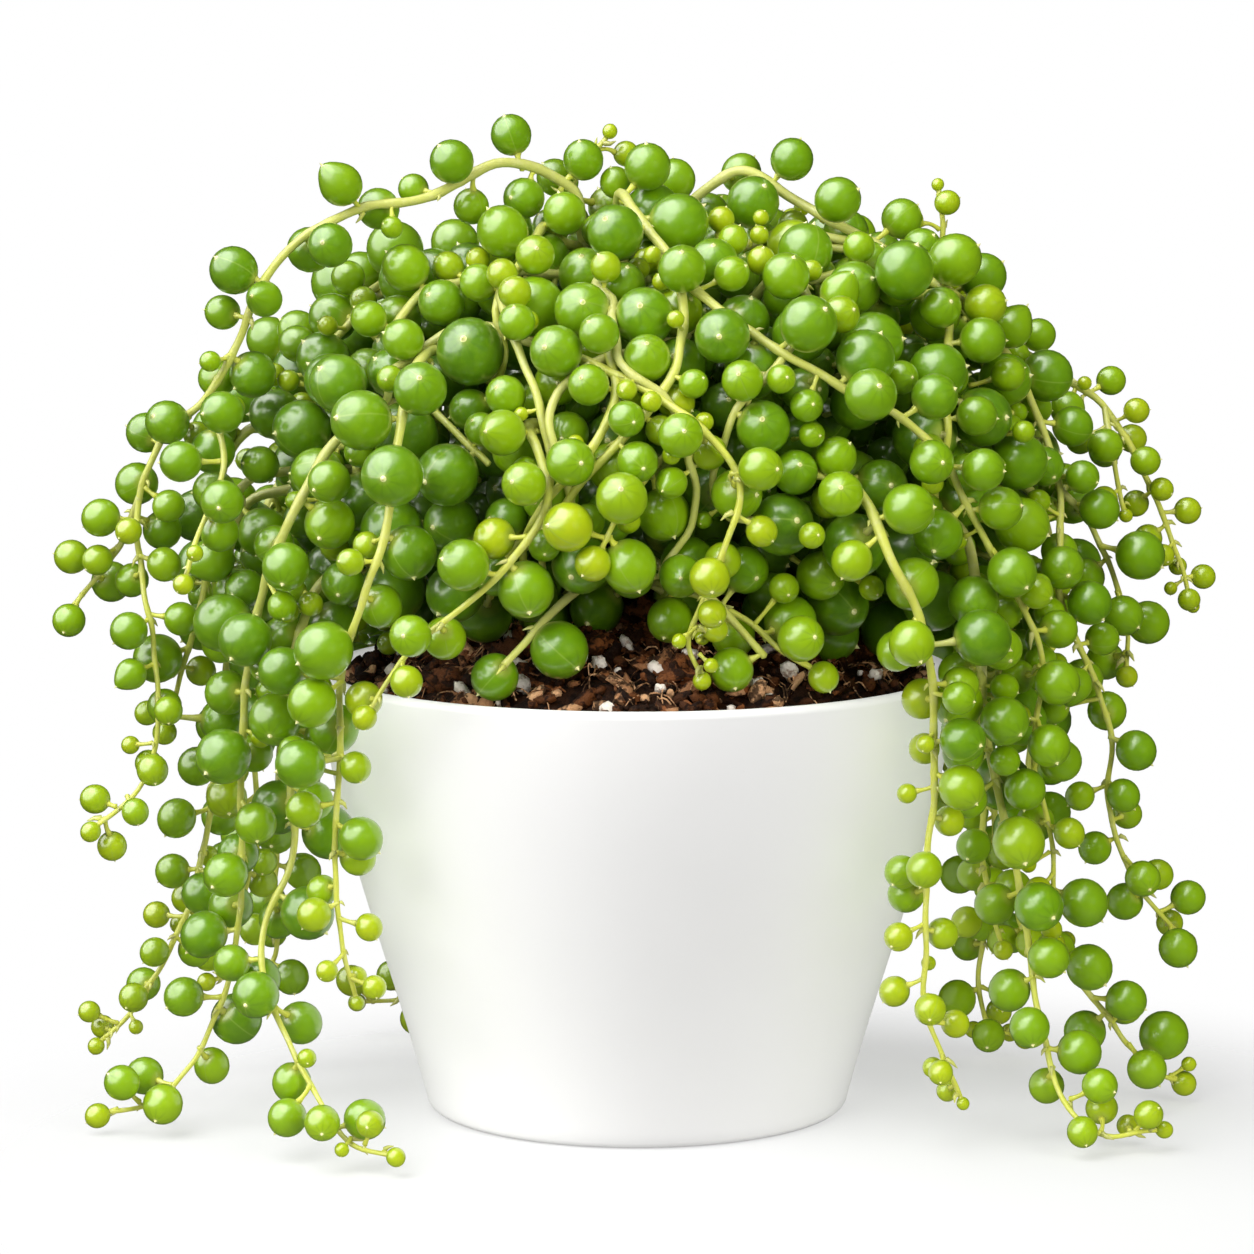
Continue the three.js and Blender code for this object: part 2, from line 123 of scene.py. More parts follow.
class Dice:
    """Seeded random numbers, the same on every run."""

    def __init__(self, seed):
        self.seed = seed

    def roll(self):
        self.seed = (self.seed * DICE_STEP) % DICE_PRIME
        return self.seed / DICE_PRIME

    def between(self, low, high):
        return low + (high - low) * self.roll()

    def bearing(self):
        return self.between(0, FULL_TURN)

    def vector(self, low, high):
        return vec(*(self.between(low, high) for _ in range(3)))


dice = Dice(20)
print("first roll would be", round(Dice(20).roll(), 4))

# %% [markdown]
# ## Skins of rings
# Every shape here is a stack of rings closed by a point at each end: a leaf, a stem, a stalk, a crumb of
# soil and the pot itself. One helper joins such a stack into faces. A heap gathers many skins into one
# mesh, which Blender draws far faster than a thousand objects, and it carries two attributes for the
# finish: where a point lies on its own leaf, and how old that leaf is.

# %% Faces between rings


@lru_cache(maxsize=None)
def ring_faces(rings, sides):
    """Corners and corner counts of a skin over rings, then a fan to the start and one to the end point."""
    i = np.arange(rings - 1)[:, None] * sides
    j = np.arange(sides)
    k = (j + 1) % sides
    quads = np.stack([i + j, i + k, i + sides + k, i + sides + j], axis=2).reshape(-1)
    first, last, top = rings * sides, rings * sides + 1, (rings - 1) * sides
    low = np.stack([np.full(sides, first), k, j], axis=1).reshape(-1)
    high = np.stack([np.full(sides, last), top + j, top + k], axis=1).reshape(-1)
    counts = np.repeat([4, 3], [(rings - 1) * sides, 2 * sides])
    return np.concatenate([quads, low, high]), counts


def points_of(skin):
    rings, start, end = skin
    return np.vstack([rings.reshape(-1, 3), [start], [end]])


print("faces on five rings of six points:", len(ring_faces(5, 6)[1]))

# %% A heap of skins


def fill(items, title, values, kind=np.float32):
    """Hands Blender a whole column of values at once."""
    items.foreach_set(title, values.astype(kind).reshape(-1))


class Heap:
    """Many small skins gathered into one mesh."""

    def __init__(self):
        self.skins = []
        self.total = 0

    def add(self, skin, material=0, tone=(1, 0.5, 1), place=None):
        """Adds a skin, given as its rings, start point and end point."""
        points = points_of(skin)
        corners, counts = ring_faces(*skin[0].shape[:2])
        spots = np.zeros_like(points) if place is None else place
        tones = np.broadcast_to(np.asarray(tone, float), points.shape)
        slots = np.full(len(counts), material)
        self.skins.append((points, corners + self.total, counts, slots, spots, tones))
        self.total += len(points)

    def build(self, name, materials):
        points, corners, counts, slots, spots, tones = (np.concatenate(c) for c in zip(*self.skins))
        mesh = bpy.data.meshes.new(name)
        mesh.vertices.add(len(points))
        mesh.loops.add(len(corners))
        mesh.polygons.add(len(counts))
        fill(mesh.vertices, "co", points * MM)
        fill(mesh.loops, "vertex_index", corners, np.int32)
        fill(mesh.polygons, "loop_start", np.cumsum(counts) - counts, np.int32)
        fill(mesh.polygons, "material_index", slots, np.int32)
        fill(mesh.polygons, "use_smooth", np.ones(len(counts)), bool)
        for title, values in (("leaf_place", spots), ("leaf_tone", tones)):
            fill(mesh.attributes.new(title, "FLOAT_VECTOR", "POINT").data, "vector", values)
        for material in materials:
            mesh.materials.append(material)
        mesh.update(calc_edges=True)
        mesh.validate()
        return add_object(name, mesh)


print("points in an empty heap:", Heap().total)

# %% Turned shapes and tubes


def circle(sides):
    turn = FULL_TURN * np.arange(sides) / sides
    return np.cos(turn), np.sin(turn)


def lathe_rings(profile, sides):
    """Rings, start and end point of a turned profile of (radius, height), listed from bottom to top."""
    profile = np.array(profile, float)
    inner = profile[1:-1]
    rings = np.zeros((len(inner), sides, 3))
    rings[:, :, :2] = inner[:, 0][:, None, None] * np.stack(circle(sides), axis=1)
    rings[:, :, 2] = inner[:, 1][:, None]
    return rings, vec(0, 0, profile[0, 1]), vec(0, 0, profile[-1, 1])


def ball_profile(steps):
    """The profile of a ball of radius 1, without its top point."""
    return [(0, -1)] + [(math.sin(a), -math.cos(a)) for a in np.linspace(0, math.pi, steps + 1)[1:-1]]


def tube_rings(path, radii, sides):
    """Rings round a path of points, turned along it without twist, with a rounded-off point at each end."""
    path = np.asarray(path, float)
    along = np.gradient(path, axis=0)
    along /= lengths(along)[:, None]
    side = square_to(vec(0.31, 0.22, 0.93) if abs(along[0, 2]) < 0.9 else vec(1, 0.2, 0.1), along[0])
    across, up = circle(sides)
    rings = np.zeros((len(path), sides, 3))
    for i, (spot, direction, radius) in enumerate(zip(path, along, radii)):
        side = square_to(side, direction)
        rings[i] = spot + radius * (np.outer(across, side) + np.outer(up, np.cross(direction, side)))
    return rings, path[0] - along[0] * radii[0] * 0.5, path[-1] + along[-1] * radii[-1] * 0.5


print("levels of a ball cut in eight:", len(ball_profile(8)))

# %% [markdown]
# ## Node trees in plain steps
# A finish is a small machine of nodes. Wiring it by hand in code is long, so one helper adds a node, sets
# its inputs and links whatever is passed as a socket. Effects that several finishes share are node groups,
# built once: a soft mottling between two colours, and a fine relief that tilts the light a little.

# %% Node helpers


def feed(tree, made, inputs):
    """Fills inputs, given by name or number, with values or with links to the sockets that feed them."""
    for name, value in dict(inputs).items():
        socket = made.inputs[name]
        if isinstance(value, bpy.types.NodeSocket):
            tree.links.new(value, socket)
        else:
            socket.default_value = (*value, 1) if socket.type == "RGBA" else value


def node(tree, kind, inputs=(), **settings):
    made = tree.nodes.new("ShaderNode" + kind)
    for name, value in settings.items():
        setattr(made, name, value)
    feed(tree, made, inputs)
    return made


def math_step(tree, operation, *values):
    return node(tree, "Math", enumerate(values), operation=operation).outputs[0]


def times(tree, one, other):
    return math_step(tree, "MULTIPLY", one, other)


def mask(tree, value, low, high):
    """A smooth mask, 0 at low and 1 at high."""
    inputs = {"Value": value, "From Min": low, "From Max": high}
    return node(tree, "MapRange", inputs, interpolation_type="SMOOTHSTEP").outputs[0]


def mix(tree, share, one, other):
    return node(tree, "Mix", {0: share, 6: one, 7: other}, data_type="RGBA").outputs[2]


def ramp(tree, value, stops):
    made = node(tree, "ValToRGB", {0: value})
    elements = made.color_ramp.elements
    while len(elements) < len(stops):
        elements.new(0.5)
    for element, (position, colour) in zip(elements, stops):
        element.position = position
        element.color = (*colour, 1)
    return made.outputs[0]


def grain(tree, scale, **inputs):
    """Noise that stays where it is on the piece."""
    place = node(tree, "TexCoord").outputs["Object"]
    return node(tree, "TexNoise", {"Vector": place, "Scale": scale, **inputs}).outputs[0]


def split_attribute(tree, name):
    """Sockets for the three numbers that each point carries."""
    numbers = node(tree, "Attribute", attribute_name=name).outputs["Vector"]
    return node(tree, "SeparateXYZ", {0: numbers}).outputs


def new_material(name):
    material = bpy.data.materials.new(name)
    material.use_nodes = True
    tree = material.node_tree
    return material, tree, tree.nodes["Principled BSDF"]


print("node helpers ready")

# %% Node groups


def new_group(name, colours, numbers, results):
    """An empty group with colour inputs, number inputs at their usual values, and named results."""
    group = bpy.data.node_groups.new(name, "ShaderNodeTree")
    for title in colours:
        group.interface.new_socket(title, in_out="INPUT", socket_type="NodeSocketColor")
    for title, value in numbers.items():
        socket = group.interface.new_socket(title, in_out="INPUT", socket_type="NodeSocketFloat")
        socket.default_value = value
    for title, kind in results.items():
        group.interface.new_socket(title, in_out="OUTPUT", socket_type="NodeSocket" + kind)
    return group, group.nodes.new("NodeGroupInput").outputs, group.nodes.new("NodeGroupOutput")


def soft_mottle_group():
    """Two colours that run into each other in soft patches; also gives the mask between them."""
    numbers = {"Scale": 300.0, "From": 0.4, "To": 0.7, "Amount": 1.0}
    results = {"Color": "Color", "Mask": "Float"}
    group, given, result = new_group("soft_mottle", ["Color", "Patch Color"], numbers, results)
    noisy = grain(group, given["Scale"], Detail=3.0, Roughness=0.6)
    share = times(group, mask(group, noisy, given["From"], given["To"]), given["Amount"])
    feed(group, result, {"Color": mix(group, share, given["Color"], given["Patch Color"]), "Mask": share})
    return group


def fine_relief_group():
    """A normal tilted by fine noise, for skins that aren't perfectly even."""
    numbers = {"Scale": 1500.0, "Strength": 0.2, "Depth": 0.0002}
    group, given, result = new_group("fine_relief", [], numbers, {"Normal": "Vector"})
    height = grain(group, given["Scale"], Detail=4.0)
    inputs = {"Height": height, "Strength": given["Strength"], "Distance": given["Depth"]}
    feed(group, result, {"Normal": node(group, "Bump", inputs).outputs[0]})
    return group


soft_mottle = soft_mottle_group()
fine_relief = fine_relief_group()


def mottle(tree, colour, patch, scale, low, high, amount):
    inputs = {"Color": colour, "Patch Color": patch, "Scale": scale}
    inputs |= {"From": low, "To": high, "Amount": amount}
    return node(tree, "Group", inputs, node_tree=soft_mottle).outputs


def relief(tree, scale, strength, depth):
    inputs = {"Scale": scale, "Strength": strength, "Depth": depth}
    return node(tree, "Group", inputs, node_tree=fine_relief).outputs["Normal"]


print("node groups:", [g.name for g in bpy.data.node_groups])

# %% [markdown]
# ## The leaf's skin
# Each pearl is a leaf swollen with water: a taut waxy skin over clear flesh. Young ones are yellow-green and
# let light through, old ones are deep green under pale patches that are partly a thin bluish bloom and partly
# painted sheen. Three small things make them read as leaves and not as glass beads: a pale pointed tip with
# faint rays round it, a thin window line that runs from the tip to the stalk, and a yellowish patch where the
# stalk joins. All are drawn from the point's place on its own leaf, so every leaf has them whichever way it
# hangs.

# %% Marks on a leaf
YOUNG, TENDER = (0.41, 0.51, 0.005), (0.245, 0.425, 0.002)
GROWN, OLD = (0.140, 0.300, 0.002), (0.080, 0.195, 0.003)
# The bloom colour is partly a waxy bloom and partly painted sheen on the older leaves.
BLOOM_AND_SHEEN, WINDOW = (0.16, 0.30, 0.02), (0.30, 0.44, 0.06)
RAY, STALK_PATCH = (0.02, 0.07, 0.01), (0.34, 0.42, 0.05)
TIP_HALO, TIP_CREAM = (0.40, 0.48, 0.10), (0.85, 0.84, 0.36)
RAY_COUNT = 9.0


def leaf_marks(tree, colour, chance, stalk):
    """The window line, the rays, the stalk patch and the pale tip, laid over the leaf's colour."""
    x, y, z = split_attribute(tree, "leaf_place")
    line = times(tree, mask(tree, math_step(tree, "ABSOLUTE", x), 0.045, 0.012), mask(tree, y, 0.0, 0.1))
    line = times(tree, line, mask(tree, chance, 0.2, 0.4))
    start = times(tree, chance, 20.0)
    turns = math_step(tree, "MULTIPLY_ADD", math_step(tree, "ARCTAN2", y, x), RAY_COUNT, start)
    rays = mask(tree, math_step(tree, "SINE", turns), 0.2, 1.0)
    marks = [
        (line, 0.45, WINDOW),
        (times(tree, mask(tree, z, 0.55, 0.97), rays), 0.16, RAY),
        (mask(tree, stalk, 0.82, 0.985), 0.8, STALK_PATCH),
        (mask(tree, z, 0.965, 0.995), 0.35, TIP_HALO),
    ]
    for shown, amount, paint in marks:
        colour = mix(tree, times(tree, shown, amount), colour, paint)
    return mix(tree, mask(tree, z, 0.992, 0.999), colour, TIP_CREAM)


print("rays round a tip:", round(RAY_COUNT))

# %% Leaf material


def leaf_material():
    """The leaf_tone attribute holds the age, with painted shade added on leaves deep in the mound, a number
    of each leaf's own, and the nearness to the stalk.
    """
    material, tree, skin = new_material("waxy_leaf")
    age, chance, stalk = split_attribute(tree, "leaf_tone")
    base = ramp(tree, age, [(0.0, YOUNG), (0.33, TENDER), (0.66, GROWN), (1.0, OLD)])
    flecked = mottle(tree, base, mix(tree, 0.5, base, TENDER), 420.0, 0.42, 0.72, 0.5)["Color"]
    # Pale patches on the older leaves: partly a thin waxy bloom, partly painted sheen; the same mask roughens
    # the skin.
    bloom_and_sheen = mottle(tree, flecked, BLOOM_AND_SHEEN, 130.0, 0.35, 0.75, times(tree, age, 0.12))
    feed(tree, skin, {
        "Base Color": leaf_marks(tree, bloom_and_sheen["Color"], chance, stalk),
        "Roughness": math_step(tree, "MULTIPLY_ADD", bloom_and_sheen["Mask"], 0.5, 0.32),
        "Normal": relief(tree, 900.0, 0.12, 0.0003),
        "IOR": 1.5,
        "Specular IOR Level": 0.4,
        "Subsurface Weight": 0.15,
        "Subsurface Radius": (1.0, 1.3, 0.15),
        "Subsurface Scale": 0.0016,
        "Sheen Weight": 0.1,
        "Sheen Roughness": 0.3,
        "Sheen Tint": (0.55, 0.80, 0.15),
        "Coat Weight": 1.0,
        "Coat Roughness": 0.2,
    })
    return material


leaf_skin = leaf_material()
print("leaf skin nodes:", len(leaf_skin.node_tree.nodes))

# %% [markdown]
# ## The stem's skin
# Stems are pale yellow-green at the young end and greyer and browner where they are old, with fine marks
# along them. They are only two millimetres thick, so the finish stays simple: a mottle at stem scale, a
# low gloss and a touch of light that goes through.

# %% Stem skin
STEM_YOUNG, STEM_GROWN, STEM_OLD = (0.62, 0.65, 0.07), (0.58, 0.60, 0.14), (0.46, 0.45, 0.16)
STEM_FLECK = (0.66, 0.66, 0.30)


def stem_material():
    material, tree, skin = new_material("stem_skin")
    age = split_attribute(tree, "leaf_tone")[0]
    base = ramp(tree, age, [(0.0, STEM_YOUNG), (0.55, STEM_GROWN), (1.0, STEM_OLD)])
    feed(tree, skin, {
        "Base Color": mottle(tree, base, STEM_FLECK, 700.0, 0.45, 0.75, 0.45)["Color"],
        "Normal": relief(tree, 1600.0, 0.35, 0.0003),
        "Roughness": 0.42,
        "Subsurface Weight": 0.12,
        "Subsurface Radius": (1.0, 1.0, 0.3),
        "Subsurface Scale": 0.0006,
    })
    return material


PLANT = [leaf_skin, stem_material()]
print("stem skin ready")

# %% [markdown]
# ## The pot
# The pot is slip-cast and glazed white: a wall that bows out above the middle, a rolled rim and a nearly
# sharp foot. A turned profile is the honest way to make it, the same curve as in the solids but with many
# more steps, so that its outline is smooth at any distance.

# %% Pot shape
POT_HEIGHT = 74
RIM_RADIUS = 53
BASE_RADIUS = 35
POT_BULGE = 15
WALL = 2.6
INNER_LEVELS = [5, 40, 72.7]
FIT_GAP = 0.3
POT_TURN_SIDES = 160
GLAZE, CLOUD, SPECK = (0.86, 0.855, 0.845), (0.80, 0.795, 0.78), (0.66, 0.64, 0.60)


def pot_radius(z):
    t = z / POT_HEIGHT
    return BASE_RADIUS + (RIM_RADIUS - BASE_RADIUS) * t + POT_BULGE * t * t * (1 - t)


def inner_radius(z):
    return float(np.interp(z, INNER_LEVELS, [pot_radius(level) for level in INNER_LEVELS])) - WALL


def pot_profile():
    lip = WALL / 2
    foot = [(0, 0), (20, 0), (BASE_RADIUS - 1.4, 0), (BASE_RADIUS - 0.6, 0.12), (BASE_RADIUS - 0.1, 0.5)]
    wall = [(pot_radius(z), z) for z in np.linspace(1.1, POT_HEIGHT - lip, 46)]
    turns = np.linspace(0, math.pi, 13)[1:-1]
    rim = [(RIM_RADIUS - lip + lip * math.cos(a), POT_HEIGHT - lip + lip * math.sin(a)) for a in turns]
    inside = [(inner_radius(z), z) for z in (72.7, 71, 68, 62, 54, 46, 40, 30, 20, 10, 5.6)]
    return foot + wall + rim + inside + [(inner_radius(5) - 1.2, 5), (20, 5), (0, 5)]


def glaze_material():
    material, tree, skin = new_material("white_glaze")
    cloudy = mottle(tree, GLAZE, CLOUD, 14.0, 0.35, 0.8, 0.5)
    feed(tree, skin, {
        "Base Color": mottle(tree, cloudy["Color"], SPECK, 1100.0, 0.74, 0.80, 0.5)["Color"],
        "Roughness": math_step(tree, "MULTIPLY_ADD", cloudy["Mask"], 0.12, 0.42),
        "Normal": relief(tree, 90.0, 0.1, 0.0006),
        "IOR": 1.5,
        "Coat Weight": 0.1,
        "Coat Roughness": 0.3,
    })
    return material


def finish_piece(heap, name, materials, replaced):
    """Builds a heap as a piece that rides on the plant's one body and stands for a node of the solids."""
    piece = heap.build(name, materials)
    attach(piece, "root")
    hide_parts(replaced)
    print(name, "faces:", len(piece.data.polygons))


def build_pot():
    heap = Heap()
    heap.add(lathe_rings(pot_profile(), POT_TURN_SIDES))
    finish_piece(heap, "pot_glazed", [glaze_material()], "pot")


build_pot()
print("pot rim radius at the top:", round(pot_radius(POT_HEIGHT), 2))

# %% [markdown]
# ## Room among the leaves
# A plant never grows one leaf into another, so a new leaf is only placed where there is room. The list of
# what is already there starts with the stems, and every leaf joins it. A leaf may sit close to its own
# stem, because its stalk is short, but it keeps off the pot, the soil, the table and other stems.

# %% Room
SOIL_EDGE = 70.5
SOIL_HEAP = 16
STEM_RADIUS = 1.05
STEM_STEP = 11
STALK = 0.5
LEAF_TIP = 1.15
# How much of both radii leaves keep free, and the gap on top of that: in the solids, and closer between them.
LOOSE, CLOSE = (1.05, 0.45), (1.0, 0.12)
NO_STEM, IS_LEAF = -2, -1
MOST_SPOTS = 40000


def soil_top(x, y):
    reach = math.hypot(x, y) / (RIM_RADIUS - WALL)
    lumps = 0.7 * math.sin(0.31 * x + 1) * math.cos(0.27 * y) + 0.5 * math.sin(0.5 * (x + y))
    return SOIL_EDGE + SOIL_HEAP * (1 - min(1, reach * reach)) + lumps


def clear_of_pot(centre, keep):
    reach = math.hypot(centre[0], centre[1])
    if centre[2] - keep > POT_HEIGHT:
        return True
    if reach > RIM_RADIUS - WALL:
        return reach - keep > pot_radius(max(0, centre[2]))
    return reach + keep < RIM_RADIUS - WALL and centre[2] - keep > soil_top(centre[0], centre[1])


class Room:
    """Where leaves and stems already are."""

    def __init__(self):
        self.spots = np.zeros((MOST_SPOTS, 4))
        self.stems = np.full(MOST_SPOTS, IS_LEAF)
        self.count = 0

    def add(self, centre, radius, stem=IS_LEAF):
        self.spots[self.count] = (*centre, radius)
        self.stems[self.count] = stem
        self.count += 1

    def known(self):
        return self.spots[: self.count], self.stems[: self.count]

    def settle(self, leaf, leaves):
        leaves.append(leaf)
        self.add(leaf.centre, leaf.radius)

    def is_free(self, centre, radius, stem=NO_STEM, fit=CLOSE):
        """Whether a leaf has room; it may come close to its own stem."""
        share, gap = fit
        if centre[2] < radius * LEAF_TIP or not clear_of_pot(centre, radius + 2 * gap):
            return False
        spots, stems = self.known()
        others = share * (radius + spots[:, 3]) + gap
        apart = np.where(stems == stem, radius + 0.4 * STEM_RADIUS, others)
        return bool((lengths(spots[:, :3] - centre) > apart).all())


room = Room()
print("soil height in the middle:", round(soil_top(0, 0), 2))

# %% [markdown]
# ## Stems as curves
# A stem is a smooth curve through a few points. Blender has curve objects for this, but here the leaves
# need to know exactly how far along the stem they sit, so the curve is computed, in the same way as in the
# solids, where it was cut into straight lengths of eleven millimetres.

# %% Curves


def reached_along(path):
    """How far along a path each of its points lies."""
    return np.concatenate([[0], np.cumsum(lengths(np.diff(path, axis=0)))])


class Route:
    """A smooth curve through points, measured by length."""

    def __init__(self, points):
        points = np.array(points, float)
        self.last = len(points) - 1
        before, after = 2 * points[0] - points[1], 2 * points[-1] - points[-2]
        self.points = np.vstack([before, points, after])
        self.table = np.linspace(0, 1, 201)
        self.reached = reached_along(self.spot(self.table))
        self.length = float(self.reached[-1])

    def spot(self, t):
        place = np.asarray(t, float) * self.last
        i = np.minimum(place.astype(int), self.last - 1)
        w = (place - i)[:, None]
        a, b, c, d = (self.points[i + k] for k in range(4))
        leave, arrive = (c - a) * 0.5, (d - b) * 0.5
        cubic = (2 * b - 2 * c + leave + arrive) * w**3
        return cubic + (3 * c - 3 * b - 2 * leave - arrive) * w**2 + leave * w + b

    def at_lengths(self, distances):
        return self.spot(np.interp(distances, self.reached, self.table))

    def spaced(self, steps):
        return self.at_lengths(self.length * np.arange(steps + 1) / steps)


class Stem:
    """A stem of a strand: its curve, its straight lengths, and its place in the list of what is there."""

    def __init__(self, strand, points):
        self.strand = strand
        self.route = Route(points)
        self.length = self.route.length
        self.steps = max(2, round(self.length / STEM_STEP))
        self.rings = self.route.spaced(self.steps)
        for spot in self.route.spaced(4 * self.steps):
            room.add(spot, STEM_RADIUS, strand)

    def at(self, distance):
        """Point and direction on the straight lengths."""
        place = distance / self.length * self.steps
        i = min(self.steps - 1, math.floor(place))
        low, high = self.rings[i], self.rings[i + 1]
        return low + (high - low) * (place - i), unit(high - low)


print("a straight route of two points is", Route([(0, 0, 0), (0, 0, 9)]).length, "mm long")

# %% [markdown]
# ## The strands
# Eighteen strands are seen in front and at the sides, and twelve more hang round the back. Each has the
# leaf radius at its start and its tip, the bare start, how young its leaves look, and the points of its
# main stem and side shoots, in millimetres.

# %% Strand routes
STRANDS = {
    "left_arch": ([3.6, 2.7], 12, 0.0, [
        [(-9, -4, 146), (-11, -6, 154), (-22, -12, 158), (-33, -18, 153), (-44, -22, 151),
         (-53, -24, 147), (-60, -24, 139), (-64, -22, 130), (-70, -19, 120), (-77, -17, 114),
         (-81, -16, 104), (-81, -16, 92), (-79, -18, 81), (-78, -20, 68), (-80, -20, 59),
         (-84, -22, 54), (-88, -24, 51)],
        [(-81, -16, 104), (-84, -12, 97), (-88, -8, 91), (-94, -4, 84)],
        [(-70, -19, 120), (-66, -28, 111), (-70, -32, 100), (-72, -34, 93)]]),
    "right_arch": ([4.5, 3.4], 10, 0.1, [
        [(-3, -3, 146), (-3, -10, 153), (-1, -17, 151), (3, -25, 146), (10, -34, 138),
         (22, -41, 130), (32, -43, 124), (40, -43, 120), (48, -41, 113), (53, -37, 103),
         (60, -33, 91), (65, -29, 79), (64, -27, 63), (67, -24, 49), (68, -22, 37), (68, -20, 32)],
        [(68, -20, 33), (72, -16, 25), (78, -12, 17), (82, -8, 11), (87, -5, 6), (91, -2, 4)]]),
    "shoulder": ([4.0, 3.0], 10, 0.0, [
        [(6, 6, 144), (9, 4, 151), (17, 2, 156), (25, 1, 152), (34, -2, 147), (45, -4, 141),
         (54, -4, 134), (61, -4, 126), (66, -5, 116), (69, -8, 105), (69, -14, 96), (69, -17, 87),
         (74, -14, 76), (78, -10, 65), (78, -8, 53), (82, -4, 40), (88, 0, 32), (92, 4, 27)],
        [(69, -8, 105), (75, -2, 98), (79, 2, 90), (82, 4, 80), (82, 4, 73)]]),
    "far_right": ([3.0, 1.9], 14, 0.1, [
        [(50, 14, 124), (57, 17, 128), (65, 18, 125), (72, 17, 121), (79, 16, 116), (84, 15, 108),
         (88, 15, 100), (91, 15, 92), (94, 15, 83)],
        [(79, 16, 116), (80, 11, 108), (82, 10, 99)]]),
    "upright": ([2.6, 1.7], 6, 0.1, [[(42, 8, 132), (47, 8, 139), (51, 8, 145), (50, 8, 153)]]),
    "crown": ([3.2, 2.0], 5, 0.1, [[(-14, 4, 146), (-11, 4, 153), (-8, 3, 158), (-5, 2, 162)]]),
    "front": ([4.2, 2.4], 8, 0.5, [
        [(-14, -30, 129), (-6, -42, 127), (4, -47, 122), (11, -50, 117), (16, -51, 110),
         (14, -51, 101), (11, -50, 93), (8, -48, 85), (10, -46, 79)]]),
    "middle": ([4.4, 4.6], 8, 0.45, [[(3, -40, 112), (1, -47, 110), (-3, -51, 105), (-6, -52, 99)]]),
    "front_left": ([4.4, 3.2], 8, 0.35, [
        [(-17, -38, 118), (-16, -46, 115), (-14, -50, 108), (-17, -51, 101), (-23, -50, 94),
         (-30, -49, 88), (-37, -49, 82), (-42, -50, 74)]]),
    "soil_runner": ([4.1, 4.0], 12, 0.2, [
        [(0, -27, 92), (4, -33, 92), (10, -37, 90), (17, -39, 87), (23, -41, 82), (28, -41, 79)]]),
    "pot_left": ([5.0, 1.9], 9, 0.2, [
        [(-32, -30, 129), (-36, -39, 124), (-38, -44, 114), (-39, -47, 103), (-42, -48, 94),
         (-45, -46, 85), (-47, -43, 76), (-47, -42, 66), (-48, -41, 54), (-48, -40, 43),
         (-47, -40, 33), (-45, -40, 26)]]),
    "left_long": ([4.7, 3.3], 10, 0.05, [
        [(-40, -26, 120), (-48, -34, 115), (-54, -36, 105), (-58, -34, 96), (-61, -31, 86),
         (-63, -29, 75), (-64, -27, 62), (-64, -25, 48), (-65, -24, 36), (-67, -22, 25),
         (-72, -21, 13), (-79, -22, 5), (-87, -24, 3.5)]]),
    "left_inner": ([4.3, 3.3], 10, 0.0, [
        [(-56, -12, 108), (-64, -14, 106), (-69, -14, 96), (-72, -12, 85), (-75, -9, 75),
         (-78, -6, 65)]]),
    "left_floor": ([4.9, 2.5], 10, 0.1, [
        [(-44, -20, 92), (-51, -28, 91), (-55, -30, 80), (-56, -28, 68), (-56, -26, 56),
         (-56, -27, 46), (-60, -30, 36), (-60, -33, 27), (-56, -38, 18), (-51, -43, 10),
         (-46, -48, 4.5), (-39, -53, 3.5)]]),
    "left_back": ([4.3, 2.3], 10, 0.05, [
        [(-57, -2, 104), (-65, -2, 101), (-68, -2, 90), (-68, -2, 76), (-70, -3, 60),
         (-72, -4, 46), (-75, -4, 34), (-79, -4, 25), (-84, -4, 17), (-90, -4, 11)]]),
    "right_rim": ([4.0, 1.7], 9, 0.4, [
        [(32, -36, 110), (36, -46, 106), (40, -49, 97), (44, -47, 88), (46, -44, 79),
         (47, -42, 69), (47, -40, 59), (46, -39, 47), (46, -39, 35), (46, -38, 24),
         (49, -38, 16), (52, -38, 9)]]),
    "right_floor": ([4.8, 2.3], 9, 0.1, [
        [(46, -26, 104), (53, -30, 98), (55, -31, 84), (56, -29, 68), (59, -28, 54),
         (62, -28, 42), (64, -29, 28), (66, -32, 17), (69, -36, 8), (75, -39, 3.5),
         (84, -36, 3.5)]]),
    "right_short": ([4.1, 2.7], 10, 0.05, [
        [(52, -8, 96), (60, -12, 92), (60, -14, 80), (58, -15, 67), (57, -15, 54), (57, -15, 42),
         (60, -15, 30)]]),
}
TIP_HEIGHTS = [24, 4, 46, 12, 34, 3.5, 52, 20, 6, 44, 16, 30]


def back_strand(i, lowest):
    """Out of the mound, over the rim and down to its own tip height."""
    bearing = math.radians(8 + (164 * i) / (len(TIP_HEIGHTS) - 1))
    start = 112 if i % 2 else 102
    route = []

    def point(reach, z, swing):
        route.append((reach * math.cos(bearing + swing), reach * math.sin(bearing + swing), z))

    core_reach = 44 + 10 * abs(math.cos(bearing))
    point(core_reach, start, 0)
    point(core_reach + 12, start + 1, 0)
    point(core_reach + 17, start - 12, 0.02)
    reach = max(63, core_reach + 13)
    for z in np.arange(start - 26, lowest + 6, -14):
        point(reach, z, dice.between(-0.05, 0.05))
        reach += dice.between(-1.5, 1)
    point(reach + 2, lowest + 2, 0)
    point(reach + 10, lowest, 0.1)
    return [4.6, 2.6], 9, 0.1, [route]


for index, height in enumerate(TIP_HEIGHTS):
    STRANDS[f"back_{index + 1}"] = back_strand(index, height)
print("strands:", len(STRANDS))

# %% [markdown]
# ## Leaves along a strand
# Leaves wind round their stem by the golden angle, the turn between one leaf and the next on many plants,
# and they face the light. This first pass repeats the leaves of the solids. Each leaf knows its centre,
# its size, the way its tip points, and where its stalk leaves the stem.

